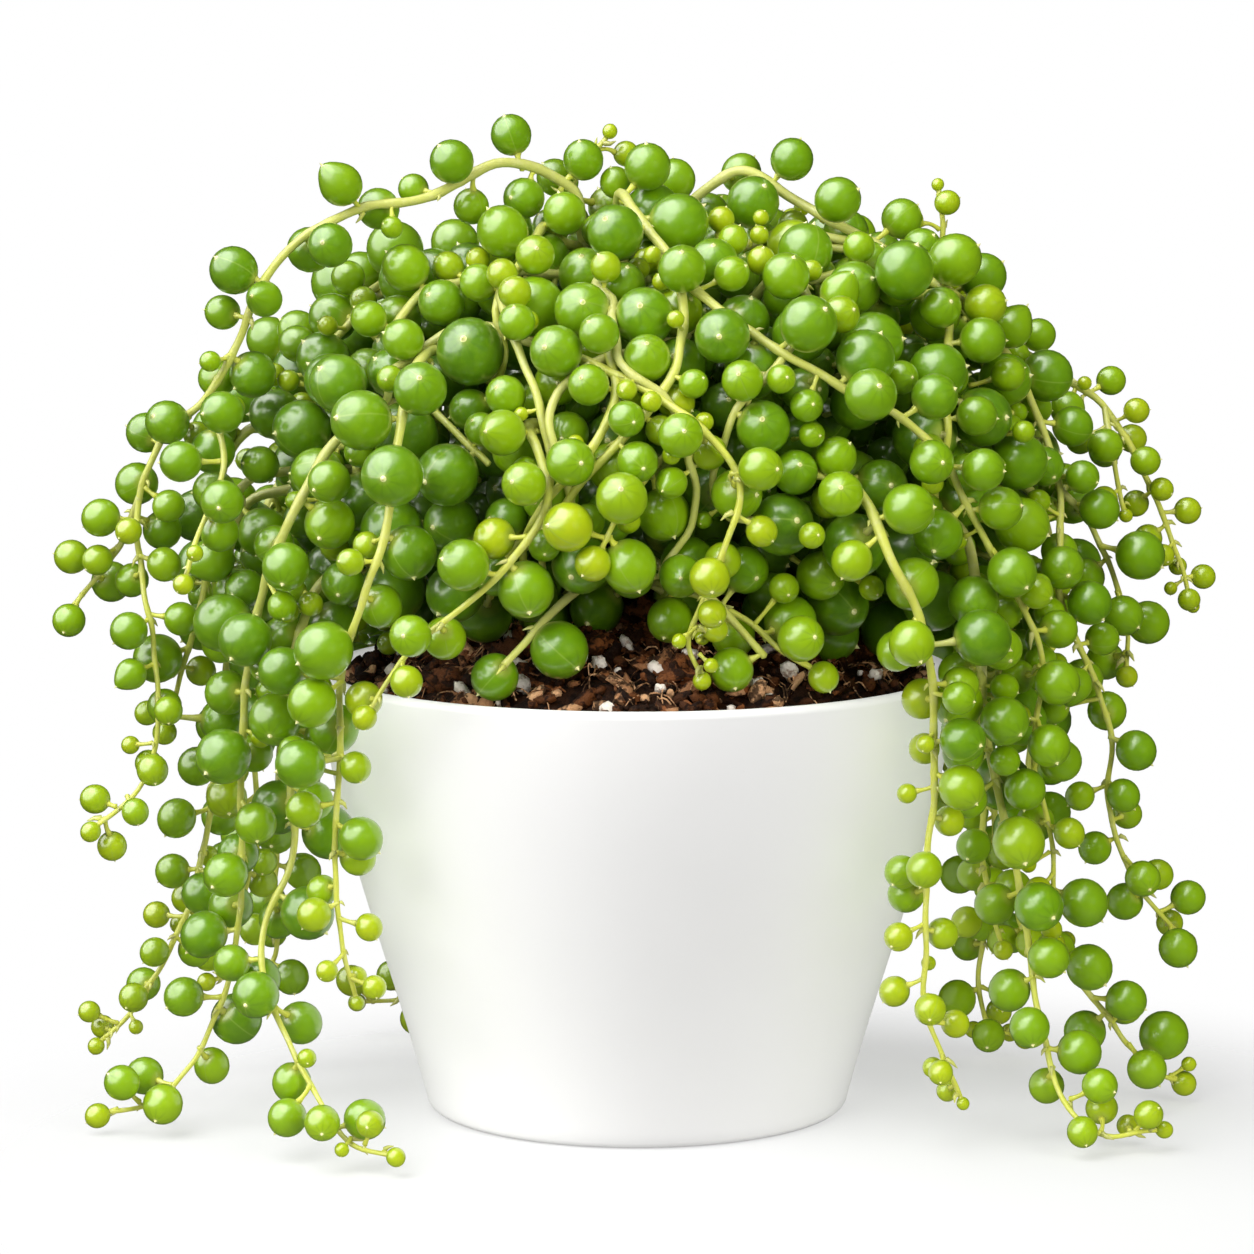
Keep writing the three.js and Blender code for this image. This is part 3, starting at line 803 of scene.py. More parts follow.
# %% Shape of the mound
MOUND_CENTRE = vec(3.8, 2, 106)
MOUND_REACH = vec(71, 56, 48.5)
MOUND_DROP = 38
MOUND_POWER = 2.05
CORE_SHARE = 0.72
CORE_BITE = 3
MOUND_TRIES = 1200
MOUND_HEM = 79
FRONT_RISE = 11
CROWN_SMALLER = 0.2
SHOOT_BARE = 5


@dataclass
class Leaf:
    centre: np.ndarray
    radius: float
    out: np.ndarray
    root: np.ndarray = None
    along: np.ndarray = None


def clamped(value, most=1):
    return min(most, max(0, value))


def mound_hem(spot):
    """Lowest centre of a leaf of the mound: higher in front, where the soil is left open to view."""
    return MOUND_HEM + FRONT_RISE * clamped((-spot[1] - 12) / 22) * clamped((60 - abs(spot[0])) / 14)


def mound_reach(direction):
    """From the mound's centre to its outer face in a direction."""
    limits = MOUND_REACH.copy()
    if direction[2] < 0:
        limits[2] = MOUND_DROP
    return float((np.abs(direction / limits) ** MOUND_POWER).sum() ** (-1 / MOUND_POWER))


print("mound above its centre:", round(mound_reach(vec(0, 0, 1)), 1), "mm")

# %% Leaves round a stem


def rooted(points):
    """A route led back to where its stem leaves the tangle in the middle."""
    inward = vec(*points[0]) - MOUND_CENTRE
    away = np.linalg.norm(inward)
    depth = mound_reach(inward / away) * CORE_SHARE - CORE_BITE
    return [tuple(MOUND_CENTRE + inward / away * depth)] + points if away > depth else points


def sunny_side(point, along):
    """The side of a stem that faces up and away from the pot, square to its direction."""
    outward = unit(vec(point[0], point[1], 0)) * 0.6 + vec(0, 0, 0.8)
    return square_to(outward, along)


def size_along(sizes, share):
    """Leaf radius at a share of the stem's length, from large to small."""
    large, small = sizes
    return large + (small - large) * share * share


def fitting_leaf(stem, distance, sizes, angle, stalk, fit):
    """Turns a leaf round its stem, smaller at each try, until it has room; gives the angle and the leaf."""
    point, along = stem.at(distance)
    for radius in sizes:
        angle += GOLDEN_ANGLE
        out = unit(turned(sunny_side(point, along), along, angle) + along * 0.35)
        centre = point + out * (STEM_RADIUS + stalk + radius)
        if room.is_free(centre, radius, stem.strand, fit):
            return angle, Leaf(centre, radius, out, point, along)
    return angle, None


print("leaf size half way along a stem:", size_along((4.6, 2.6), 0.5))

# %% First leaves on strands


def first_leaves(stem, sizes, bare):
    """The leaves that the solids have."""
    leaves = []
    angle, distance = dice.bearing(), bare
    while distance < stem.length - 2:
        radius = size_along(sizes, distance / stem.length) * dice.between(0.82, 1.14)
        tries = [radius * (1 - 0.07 * i) for i in range(5)]
        angle, leaf = fitting_leaf(stem, distance, tries, angle, STALK, LOOSE)
        if leaf:
            room.settle(leaf, leaves)
        distance += radius * dice.between(3.1, 4) + 1
    end, along = stem.at(stem.length)
    radius = sizes[1] * 0.62
    centre = end + along * radius * 0.7
    if centre[2] > radius * 1.2:
        room.settle(Leaf(centre, radius, along, end - along * radius, along), leaves)
    return leaves


def leaf_every_strand(rule):
    for name, (sizes, bare, *_) in STRANDS.items():
        for number, stem in enumerate(strands[name]["stems"]):
            strands[name]["leaves"] += rule(stem, sizes, SHOOT_BARE if number else bare)
    print("leaves on strands so far:", sum(len(s["leaves"]) for s in strands.values()))


strands = {}
for index, (name, (*_, (main, *shoots))) in enumerate(STRANDS.items()):
    strands[name] = {"stems": [Stem(index, points) for points in [rooted(main)] + shoots], "leaves": []}
leaf_every_strand(first_leaves)

# %% [markdown]
# ## The pale grains
# The same dice next roll the twelve grains that stand out of the soil in the solids, and then the leaves of
# the mound, which lie on a golden-angle spiral over its dome. They are kept for later steps.

# %% Grains and first mound leaves


def first_grains():
    grains = []
    for i in range(12):
        x, y, _ = around(dice.between(26, 45), i * GOLDEN_ANGLE, 0)
        grains.append((x, y, dice.between(1, 2.1)))
    return grains


def on_ball(height, bearing):
    """A direction, from its height on a ball of radius 1 and its bearing."""
    return around(math.sqrt(1 - height * height), bearing, height)


def first_mound_leaves():
    leaves = []
    for i in range(MOUND_TRIES):
        height = 1 - (1.62 * (i + 0.5)) / MOUND_TRIES
        out = on_ball(height, i * GOLDEN_ANGLE + dice.between(-0.06, 0.06))
        radius = dice.between(4.2, 5.7) * (1 - CROWN_SMALLER * max(0, height))
        reach = mound_reach(out)
        centre = MOUND_CENTRE + out * dice.between(reach * CORE_SHARE + 0.8 * radius, reach - radius)
        out = unit(out + dice.vector(-0.3, 0.3))
        if centre[2] > mound_hem(centre) and room.is_free(centre, radius, NO_STEM, LOOSE):
            room.settle(Leaf(centre, radius, out), leaves)
    return leaves


grains = first_grains()
mound = first_mound_leaves()
print("first leaves on the mound:", len(mound))

# %% [markdown]
# ## More leaves along the strands
# The solids have about every second leaf. The ones between are added here by a second set of dice, so that
# the first leaves stay where they are. They are a little smaller, and now and then one is tiny, as on a
# stem that still grows. A leaf is only added where it touches nothing.

# %% More leaves on strands
growth = Dice(7)


def more_leaves(stem, sizes, bare):
    leaves = []
    angle, distance = growth.bearing(), 0.7 * bare
    while distance < stem.length - 1.5:
        size = size_along(sizes, distance / stem.length) * growth.between(0.72, 1.1)
        size = max(1.2, size * (0.5 if growth.roll() < 0.13 else 1))
        tries = [size * (1 - 0.05 * i) for i in range(7)]
        angle, leaf = fitting_leaf(stem, distance, tries, angle, growth.between(0.5, 2.4), (1.0, 0.15))
        if leaf:
            room.settle(leaf, leaves)
        distance += size * growth.between(1.7, 3.0) if leaf else 2.4
    return leaves


leaf_every_strand(more_leaves)

# %% [markdown]
# ## Runners over the soil
# In front the mound stops short of the rim, and two short stems creep down over the soil there. Their
# pearls almost rest on it. They are few and plain to see, so each is given one by one instead of by dice,
# as centre and radius, and joins its runner at the nearest point.

# %% Runners in front
RUNNERS = [
    (
        [(-4, -31, 97), (-9, -37, 92), (-15, -41.5, 87), (-19, -44.5, 82.5), (-21, -45.5, 80.5)],
        [(-22.6, -42, 78.1, 3.8), (-12.4, -42.5, 82.5, 4.6), (-17, -39, 90, 3.6), (-26, -41.5, 84.5, 3.2)],
    ),
    (
        [(-1.5, -33, 97.6), (8.2, -38, 92.7), (17, -42, 85.5), (20, -43.5, 81.5)],
        [(23.3, -41.5, 78, 3.7), (20.5, -39.5, 87.5, 3.9), (14.8, -43, 79.4, 3.5), (2.3, -39.5, 87.6, 3.8)],
    ),
]
FIRST_RUNNER = 200


def runner_leaves(stem, places):
    leaves = []
    spots = stem.route.at_lengths(np.linspace(0, stem.length, 40))
    for *place, radius in places:
        centre = vec(*place)
        root = spots[int(np.argmin(lengths(spots - centre)))]
        for _ in range(5):
            if room.is_free(centre, radius, stem.strand, (1.0, 0.1)):
                leaf = Leaf(centre, radius, unit(centre - root), root, unit(spots[-1] - spots[0]))
                room.settle(leaf, leaves)
                break
            radius *= 0.92
    return leaves


runners = [Stem(FIRST_RUNNER + i, points) for i, (points, _) in enumerate(RUNNERS)]
for stem, (_, places) in zip(runners, RUNNERS):
    mound += runner_leaves(stem, places)
print("runners:", len(runners), "- leaves on the mound so far:", len(mound))

# %% [markdown]
# ## Stems that wander over the mound
# The mound isn't a ball with beads glued on: dozens of stems leave the crown, wander down among the leaves
# and carry them. Each starts as an arc over the dome. It is then relaxed: again and again every point is
# pushed out of the leaves that it would cut, and drawn back towards its neighbours, until it lies between
# them as a real stem does.

# %% Darts, relaxed paths and joints
MOUND_STEMS = 26
FIRST_MOUND_STEM = 100
MOUND_STEM_RADIUS = 0.75
RELAX_ROUNDS = 14


def darts(tries, sizes, depths):
    leaves = []
    for _ in range(tries):
        height = growth.between(-0.66, 1)
        out = on_ball(height, growth.bearing())
        size = growth.between(*sizes) * (1 - CROWN_SMALLER * max(0, height))
        centre = MOUND_CENTRE + out * (mound_reach(out) - size - growth.between(*depths))
        if centre[2] > mound_hem(centre) and room.is_free(centre, size):
            room.settle(Leaf(centre, size, out), leaves)
    return leaves


def relaxed(path, radius):
    spots, stems = room.known()
    leaves = spots[stems == IS_LEAF]
    for _ in range(RELAX_ROUNDS):
        gaps = path[:, None, :] - leaves[None, :, :3]
        away = lengths(gaps)
        short = np.clip(leaves[None, :, 3] + radius + 0.25 - away, 0, None)
        path = path + (gaps / away[:, :, None] * short[:, :, None]).sum(axis=1) * 0.8
        path[1:-1] += 0.3 * ((path[:-2] + path[2:]) / 2 - path[1:-1])
    return path


def nearest_stem(centre, radius, stalk):
    """A stem point near enough to carry the leaf on a stalk of that length, or None."""
    spots, stems = room.known()
    away = lengths(spots[:, :3] - centre)
    away[stems == IS_LEAF] = np.inf
    i = int(np.argmin(away))
    return spots[i, :3] if away[i] < radius + stalk else None


mound += darts(3000, (4.9, 5.8), (0, 4)) + darts(1500, (4.3, 5.2), (0, 6))
print("leaves before the stems wander:", len(mound))

# %% Wandering stems


def on_mound(colatitude, bearing, level):
    direction = around(math.sin(colatitude), bearing, math.cos(colatitude))
    return MOUND_CENTRE + direction * mound_reach(direction) * level


class MoundStem:
    """A stem over the mound, along a relaxed path."""

    def __init__(self, strand, path):
        self.strand = strand
        self.path = path
        self.reached = reached_along(path)
        self.length = float(self.reached[-1])
        for spot in path:
            room.add(spot, MOUND_STEM_RADIUS, strand)

    def at(self, distance):
        spot = vec(*(np.interp(distance, self.reached, self.path[:, k]) for k in range(3)))
        i = min(len(self.path) - 2, int(np.searchsorted(self.reached, distance, side="right")) - 1)
        return spot, unit(self.path[i + 1] - self.path[i])


def wander(i):
    bearing = i * GOLDEN_ANGLE + growth.between(-0.3, 0.3)
    top, bottom = growth.between(0.15, 0.95), growth.between(1.35, 1.95)
    swing, phase = growth.between(-1.0, 1.0), growth.between(0, 6.3)
    spots = []
    for s in np.linspace(0, 1, 48):
        level = 0.68 + 0.25 * math.sin(math.pi * min(0.8, 0.06 + 0.9 * s))
        turn = bearing + swing * s + 0.13 * math.sin(7 * s + phase)
        spot = on_mound(top + (bottom - top) * s, turn, level)
        if spot[2] < mound_hem(spot):
            break
        spots.append(spot)
    return MoundStem(FIRST_MOUND_STEM + i, relaxed(np.array(spots), MOUND_STEM_RADIUS))


mound_stems = [wander(i) for i in range(MOUND_STEMS)]
print("stems over the mound:", len(mound_stems), "of", round(sum(s.length for s in mound_stems)), "mm")

# %% [markdown]
# ## Leaves that fill the mound
# First come leaves along the wandering stems, to the left and right by turns. Then darts are thrown at the
# dome, shell by shell from the outside in, and one sticks wherever a leaf has room. This gives the packed
# heap of a real plant, with darker leaves deep in the gaps and nothing hollow behind them. Last, leaves
# fill the places on and over the rim where stems cross it, all round but in front, where soil shows.

# %% Leaves beside the wandering stems


def leaves_beside(stem):
    leaves = []
    distance, side = growth.between(2, 7), 1
    while distance < stem.length - 1:
        point, along = stem.at(distance)
        size = growth.between(3.4, 5.4) * (0.5 if growth.roll() < 0.14 else 1)
        facing = square_to(point - MOUND_CENTRE, along)
        step = 2.0
        for _ in range(8):
            side = -side
            size *= 0.93
            out = turned(facing, along, side * growth.between(0.4, 1.9))
            centre = point + out * (MOUND_STEM_RADIUS + growth.between(0.2, 1.3) + size)
            if centre[2] > mound_hem(centre) and room.is_free(centre, size, stem.strand):
                room.settle(Leaf(centre, size, out, point, along), leaves)
                step = size * growth.between(1.2, 2.0)
                break
        distance += step
    return leaves


for stem in mound_stems:
    mound += leaves_beside(stem)
print("with those along the stems:", len(mound))

# %% Shells and skirt
SHELLS = [(3500, (4.2, 5.4), (0, 6)), (2500, (3.6, 4.6), (1, 8)), (700, (1.6, 3.0), (0, 6))]
SHELLS += [(3500, (4.0, 5.2), (6, 14)), (3500, (3.0, 4.2), (8, 16)), (3000, (3.8, 5.0), (15, 23))]
SHELLS += [(2500, (3.0, 4.0), (15, 24)), (2500, (3.8, 5.2), (23, 34)), (1500, (3.4, 4.4), (24, 40))]


def skirt(tries, sizes):
    """Leaves on and over the rim, all round but in front, each close to a stem that can carry it."""
    leaves = []
    for _ in range(tries):
        bearing, size = growth.bearing(), growth.between(*sizes)
        reach, height = growth.between(41, 70), growth.between(62, 92)
        centre = around(reach, bearing, height)
        in_window = centre[1] < 0 and abs(centre[0]) < (43 if centre[1] > -16 else 50)
        if not in_window and room.is_free(centre, size):
            near = nearest_stem(centre, size, 7)
            if near is not None:
                room.settle(Leaf(centre, size, unit(centre - near), near), leaves)
    return leaves


for shell in SHELLS:
    mound += darts(*shell)
mound += skirt(8000, (3.2, 5.2)) + skirt(6000, (1.9, 3.2))
print("leaves on the mound:", len(mound))

# %% [markdown]
# ## The look of one leaf
# A pearl is a ball drawn out to a small soft point. It is turned from a profile, and a few are drawn out
# further, like a drop. Its tip points away from the plant, and where the stalk joins is worked out for each
# leaf, because the window line runs from the tip to that spot.

# %% Leaf shape and tone
looks = Dice(11)
FINE, COARSE = (22, 13), (14, 8)
POINT = [(0.1, 0.995), (0.065, 1.015), (0.03, 1.08), (0, 1.13)]
LEAF_SIZES, LEAF_TONES = [1.0, 2.0, 3.0, 4.2, 5.4], [0.05, 0.25, 0.48, 0.72, 0.92]


@lru_cache(maxsize=None)
def leaf_template(sides, steps, drop):
    """A leaf of radius 1 with its tip along +Z, and each point's place on it."""
    rings, start, end = lathe_rings(ball_profile(steps) + POINT, sides)
    place = points_of((rings, start, end))
    if drop:
        pull = np.clip(rings[:, :, 2:], 0, None) ** 2
        rings = rings * np.concatenate([1 - 0.16 * pull, 1 - 0.16 * pull, 1 + 0.26 * pull], axis=2)
        end = end * 1.27
    return (rings, start, end), place


def leaf_tone(leaf, youth, depth=0.0):
    """The leaf's age, from 0 to 1: large leaves are older, and leaves deep in the mound are darkened further,
    as painted shade.
    """
    tone = np.interp(leaf.radius, LEAF_SIZES, LEAF_TONES)
    # depth darkens the tone further: painted shade on leaves deep in the mound
    tone += looks.between(-0.14, 0.12) - 0.6 * youth + depth
    tone -= 0.3 if looks.roll() < 0.06 else 0
    return clamped(tone)


def outward_tip(leaf, middle, hang=0.0):
    """Where the tip points: away from the stem, out of the plant, down where it hangs, never quite true."""
    away = unit(leaf.centre - middle)
    scatter = looks.vector(-0.4, 0.4)
    aim = leaf.out * (0.45 + 0.45 * hang) + away * (0.75 - 0.55 * hang)
    return unit(aim + scatter - vec(0, 0, 0.5) * hang)


print("tone of a full-grown leaf:", round(np.interp(4.2, LEAF_SIZES, LEAF_TONES), 2))

# %% Leaf mesh


def placed(skin, size, axes, centre):
    """A skin stretched by its sizes, turned to its own axes and moved to its centre."""
    return [(part * size) @ axes + centre for part in skin]


def add_leaf(heap, leaf, tip, tone, mesh_steps=FINE):
    drop = looks.roll() < 0.02 and 2.5 < leaf.radius < 3.8
    skin, place = leaf_template(*mesh_steps, drop)
    stalk = unit(leaf.root - leaf.centre)
    spin = square_to(stalk if abs(np.dot(stalk, tip)) < 0.98 else vec(0.3, 0.5, 0.8), tip)
    axes = np.stack([np.cross(spin, tip), spin, tip])
    size = leaf.radius * vec(1, 1, looks.between(1, 1.05))
    tones = np.empty_like(place)
    tones[:] = (tone, looks.roll(), 0)
    tones[:, 2] = (place / lengths(place)[:, None]) @ (axes @ stalk)
    heap.add(placed(skin, size, axes, leaf.centre), 0, tones, place)


print("leaf template of", len(leaf_template(*FINE, False)[1]), "points")

# %% [markdown]
# ## Stems, stalks and scales
# A stem is a tube that gets thinner towards its tip, a little crooked, and thickened where a leaf leaves
# it. From there a short stalk curves to the leaf and flares where it joins. Beside many joints sits a
# pointed scale, the dried remains of a bud, which catches the light at the edge of a stem.

# %% Stem shape
STEM_SIDES = 8
CROOK_SHIFTS = (0, 31.3, 67.7)
STALK_SHAPE = np.array([1.25, 1.0, 0.9, 0.92, 1.1, 1.5])


def add_stem(heap, spots, thick, thin, joints, tones):
    """A crooked tube along evenly spaced spots; joints are the points where leaves leave it."""
    share = np.linspace(0, 1, len(spots))
    near = lengths(spots[:, None, :] - np.array(joints)).min(axis=1)
    radii = (thick + (thin - thick) * share**0.8) * (1 + 0.18 * np.exp(-((near / 1.1) ** 2)))
    places = [[Vector(spot * 0.14 + shift) for shift in CROOK_SHIFTS] for spot in spots]
    crook = np.array([[noise.noise(place) for place in row] for row in places])
    path = spots + 0.45 * crook * np.minimum(1, share * 8)[:, None]
    ages = np.repeat(tones[0] + (tones[1] - tones[0]) * share, STEM_SIDES)
    values = np.zeros((len(ages) + 2, 3))
    values[:, 0] = [*ages, *tones]
    heap.add(tube_rings(path, radii, STEM_SIDES), 1, values)


def add_stalk(heap, leaf, tone):
    base = leaf.centre + unit(leaf.root - leaf.centre) * leaf.radius * 0.98
    span = np.linalg.norm(leaf.root - base)
    along = leaf.along if leaf.along is not None else vec(0, 0, -1)
    bend = (leaf.root + base) / 2 + (along * 0.3 + vec(0, 0, 0.2)) * min(span, 3) * 0.6
    t = np.linspace(0, 1, len(STALK_SHAPE))[:, None]
    path = leaf.root * (1 - t) ** 2 + bend * 2 * t * (1 - t) + base * t**2
    heap.add(tube_rings(path, (0.27 + 0.055 * leaf.radius) * STALK_SHAPE, 6), 1, (tone, 0.5, 0))


def add_scale(heap, leaf):
    """A dried scale beside the joint of some leaves."""
    if leaf.along is not None and looks.roll() < 0.6:
        side = unit(square_to(leaf.root - leaf.centre, leaf.along) + looks.vector(-0.6, 0.6))
        size = looks.between(0.9, 1.7)
        path = [leaf.root + side * 0.4]
        path += [leaf.root + (side * out + leaf.along * on) * size for out, on in ((0.8, 0.35), (1.15, 0.95))]
        skin = tube_rings(path, size * np.array([0.34, 0.24, 0.05]), 5)
        heap.add(skin, 1, (looks.between(0.3, 0.9), 0.5, 0))


print("stem helpers ready")

# %% [markdown]
# ## Strands, one piece each
# Every strand of the solids gets one piece with its stems, stalks and leaves, which replaces that strand's
# node and nothing else. Leaves near the tip are younger, so they are yellower.

# %% Build the strands
TIP_REACH = 28


def spaced_count(length, step):
    return max(8, round(length / step))


def build_strand(name):
    youth = STRANDS[name][2]
    stems, leaves = strands[name]["stems"], strands[name]["leaves"]
    heap = Heap()
    for number, stem in enumerate(stems):
        spots = stem.route.at_lengths(np.linspace(0, stem.length, spaced_count(stem.length, 1.3)))
        thick = 0.62 if number else (0.98 if stem.length > 60 else 0.78)
        add_stem(heap, spots, thick, 0.36, [leaf.root for leaf in leaves], (0.7 - youth, 0.05))
    ends = [stem.route.at_lengths([stem.length])[0] for stem in stems]
    for leaf in leaves:
        to_tip = min(np.linalg.norm(leaf.centre - end) for end in ends)
        middle = vec(0, 0, min(110, leaf.centre[2]))
        hang = float(np.interp(leaf.centre[2], [70, 110], [1, 0]))
        tone = leaf_tone(leaf, youth + 0.35 * max(0, 1 - to_tip / TIP_REACH))
        add_leaf(heap, leaf, outward_tip(leaf, middle, hang), tone)
        add_stalk(heap, leaf, max(0, tone - 0.5))
        add_scale(heap, leaf)
    finish_piece(heap, f"pearls_{name}", PLANT, f"strand_{name}")


for name in STRANDS:
    build_strand(name)
print("strand pieces:", len(STRANDS))

# %% [markdown]
# ## The mound, in wedges
# The mound is one node in the solids, but as one mesh its thousand leaves would be too heavy to handle, so
# it is cut like a cake into wedges, each a piece of its own. Leaves deep inside are seen only through gaps
# and are made with fewer faces.

# %% Build the mound
WEDGES = 8
DEEP, HIDDEN = 15, 18


def wedge_of(spot):
    return int((math.atan2(spot[1] - MOUND_CENTRE[1], spot[0]) / FULL_TURN + 0.5) * WEDGES) % WEDGES


def give_root(leaf):
    """A leaf thrown as a dart hangs from the nearest stem, or from inside the mound."""
    if leaf.root is None:
        inward = unit(MOUND_CENTRE - leaf.centre)
        near = nearest_stem(leaf.centre, leaf.radius, 6)
        leaf.root = near if near is not None else leaf.centre + inward * (leaf.radius + 4)


def build_mound():
    heaps = [Heap() for _ in range(WEDGES)]
    joints = [leaf.root for leaf in mound if leaf.along is not None]
    for stem in mound_stems + runners:
        distances = np.linspace(0, stem.length, spaced_count(stem.length, 1.6))
        spots = np.array([stem.at(distance)[0] for distance in distances])
        youth = looks.between(0, 0.5)
        heap = heaps[wedge_of(spots[len(spots) // 2])]
        add_stem(heap, spots, 0.94, 0.55, joints, (0.9 - youth, 0.5 - youth))
    for leaf in mound:
        give_root(leaf)
        heap = heaps[wedge_of(leaf.centre)]
        inward = leaf.centre - MOUND_CENTRE
        depth = mound_reach(unit(inward)) - np.linalg.norm(inward)
        youth = 0.45 * clamped((leaf.centre[2] - 112) / 45)
        # leaves more than 8 mm below the mound's face get a darker tone, as painted shade
        tone = leaf_tone(leaf, youth, clamped((depth - 8) / 30, 0.25))
        add_leaf(heap, leaf, outward_tip(leaf, MOUND_CENTRE), tone, COARSE if depth > DEEP else FINE)
        if depth < HIDDEN:
            add_stalk(heap, leaf, max(0, tone - 0.3))
            add_scale(heap, leaf)
    for number, heap in enumerate(heaps):
        finish_piece(heap, f"mound_wedge_{number + 1}", PLANT, "mound")


build_mound()

# %% [markdown]
# ## The soil
# Potting soil for succulents is coarse: clods and crumbs of dark coir, a few fibres, and pale grains of
# puffed volcanic glass that let air in. A single bumpy surface would look like cloth, so a displaced bed
# carries real clods, crumbs, fibres and grains, each a small uneven skin of its own. Most crumbs are nearly
# black and some are light, because it is this contrast that makes soil look coarse.

# %% Soil finish
COIR_TONES = [(0.0, (0.008, 0.003, 0.001)), (0.5, (0.22, 0.072, 0.02)), (1.0, (0.95, 0.56, 0.29))]
DAMP, PUMICE, PIT = (0.006, 0.002, 0.001), (0.95, 0.86, 0.75), (0.40, 0.25, 0.17)


def soil_material():
    material, tree, skin = new_material("coir_soil")
    base = ramp(tree, split_attribute(tree, "leaf_tone")[0], COIR_TONES)
    feed(tree, skin, {
        "Base Color": mottle(tree, base, DAMP, 500.0, 0.47, 0.56, 0.85)["Color"],
        "Normal": relief(tree, 1800.0, 0.9, 0.0006),
        "Roughness": 0.82,
        "Specular IOR Level": 0.2,
    })
    return material


def grain_material():
    material, tree, skin = new_material("pale_grain")
    feed(tree, skin, {
        "Base Color": mottle(tree, PUMICE, PIT, 800.0, 0.52, 0.66, 0.85)["Color"],
        "Normal": relief(tree, 2200.0, 0.8, 0.0005),
        "Roughness": 0.9,
    })
    return material


coir_soil, pale_grain = soil_material(), grain_material()
print("soil finishes ready")

# %% Soil bed
stones = Dice(5)
SOIL_RINGS, SOIL_SIDES = 64, 128
CLODS, CRUMBS, FIBRES, SMALL_GRAINS = 110, 1900, 700, 120


def bed_height(x, y):
    lumps = 1.1 * noise.noise(Vector((x, y, 3)) * 0.28) + 0.7 * noise.noise(Vector((x, y, 8)) * 0.8)
    return soil_top(x, y) + lumps


def soil_spot(inner, outer, lift):
    x, y, _ = around(math.sqrt(stones.between(inner * inner, outer * outer)), stones.bearing(), 0)
    return vec(x, y, bed_height(x, y) + lift)


def add_bed(heap):
    low = INNER_LEVELS[0] + FIT_GAP
    edge = inner_radius(SOIL_EDGE - 2) - FIT_GAP
    walls = [(inner_radius(z) - FIT_GAP, z) for z in (low, 12, 25, INNER_LEVELS[1], 55, SOIL_EDGE - 2)]
    tops = [(edge * share, SOIL_EDGE) for share in np.linspace(0.995, 0.03, SOIL_RINGS)]
    rings, start, _ = lathe_rings([(0, low), (20, low)] + walls + tops + [(0, SOIL_EDGE)], SOIL_SIDES)
    for ring in rings[len(walls) + 1 :]:
        for spot in ring:
            spot[2] = bed_height(spot[0], spot[1])
    # the bed's nearly black tone is dark coir, darkened further as painted shade, since the bed shows only in
    # the gaps between clods and crumbs
    heap.add((rings, start, vec(0, 0, bed_height(0, 0))), 0, (0.04, 0.5, 0))


print("height of the bed in the middle:", round(bed_height(0, 0), 1), "mm")

# %% Clods and crumbs


def add_lump(heap, spot, size, stretch, tone, sides=7, levels=4):
    """An uneven crumb: a ball of few faces whose points are pushed in and out."""
    rings, start, end = lathe_rings(ball_profile(levels + 1) + [(0, 1)], sides)
    pushes = np.array([[stones.between(0.72, 1.15) for _ in range(sides)] for _ in range(levels)])
    axis = unit(stones.vector(-1, 1) + 0.01)
    side = square_to(vec(0.2, 0.5, 0.9), axis)
    axes = np.stack([np.cross(side, axis), side, axis])
    scale = size * vec(1, stones.between(0.6, 1), stretch)
    heap.add(placed((rings * pushes[:, :, None], start, end), scale, axes, spot), 0, (tone, 0.5, 0))


def add_clod(heap, spot, size, tone):
    """A craggy clump of coir: a ball of many faces, pushed in and out by coarse and fine noise."""
    rings, start, end = lathe_rings(ball_profile(13) + [(0, 1)], 18)
    seed = stones.vector(0, 90)
    stretch = vec(stones.between(0.8, 1.2), stones.between(0.8, 1.2), stones.between(0.55, 0.8))

    def craggy(point):
        coarse = noise.noise(Vector(point * 1.6 + seed))
        fine = abs(noise.noise(Vector(point * 5.0 + seed)))
        return point * (1 + 0.5 * coarse - 0.75 * fine) * size * stretch + spot

    rings = np.array([[craggy(point) for point in ring] for ring in rings])
    heap.add((rings, craggy(start), craggy(end)), 0, (tone, 0.5, 0))


def add_clods(heap):
    for _ in range(CLODS):
        size = stones.between(1.8, 4.8)
        add_clod(heap, soil_spot(16, 48 - size, size * 0.2), size, stones.between(0.12, 0.6))


def add_crumbs(heap):
    for _ in range(CRUMBS):
        size = 0.35 + 1.2 * stones.roll() ** 2
        spot = soil_spot(20, 49.6 - size, size * 0.5)
        tone = stones.between(0.4, 0.95) if stones.roll() < 0.3 else stones.between(0, 0.3)
        add_lump(heap, spot, size, stones.between(0.8, 2.8), tone)


print("clods and crumbs:", CLODS + CRUMBS)

# %% Fibres, grains and the soil's pieces


def add_fibres(heap):
    for _ in range(FIBRES):
        start = soil_spot(22, 46, 0.6)
        bearing, length = stones.bearing(), stones.between(2.5, 7)
        curl, rise = stones.between(-1.2, 1.2), stones.between(0.2, 1.6)
        path = []
        for t in np.linspace(0, 1, 7):
            x, y, _ = start + around(1, bearing + curl * t, 0) * length * t
            inside = min(1, 48.5 / max(1, math.hypot(x, y)))
            x, y = x * inside, y * inside
            path.append(vec(x, y, bed_height(x, y) + 0.5 + rise * math.sin(math.pi * t)))
        skin = tube_rings(path, np.linspace(0.17, 0.07, 7), 5)
        heap.add(skin, 0, (stones.between(0.5, 1), 0.5, 0))


def add_grains(heap):
    for x, y, size in grains:
        add_lump(heap, vec(x, y, soil_top(x, y) + 0.8), size * 1.05, 1.15, 0.5, 9, 5)
    for _ in range(SMALL_GRAINS):
        size = 0.4 + 1.3 * stones.roll() ** 1.4
        spot = soil_spot(28, 48.8 - size, size * 0.7 + 0.5)
        add_lump(heap, spot, size, stones.between(0.8, 1.2), 0.5, 9, 5)


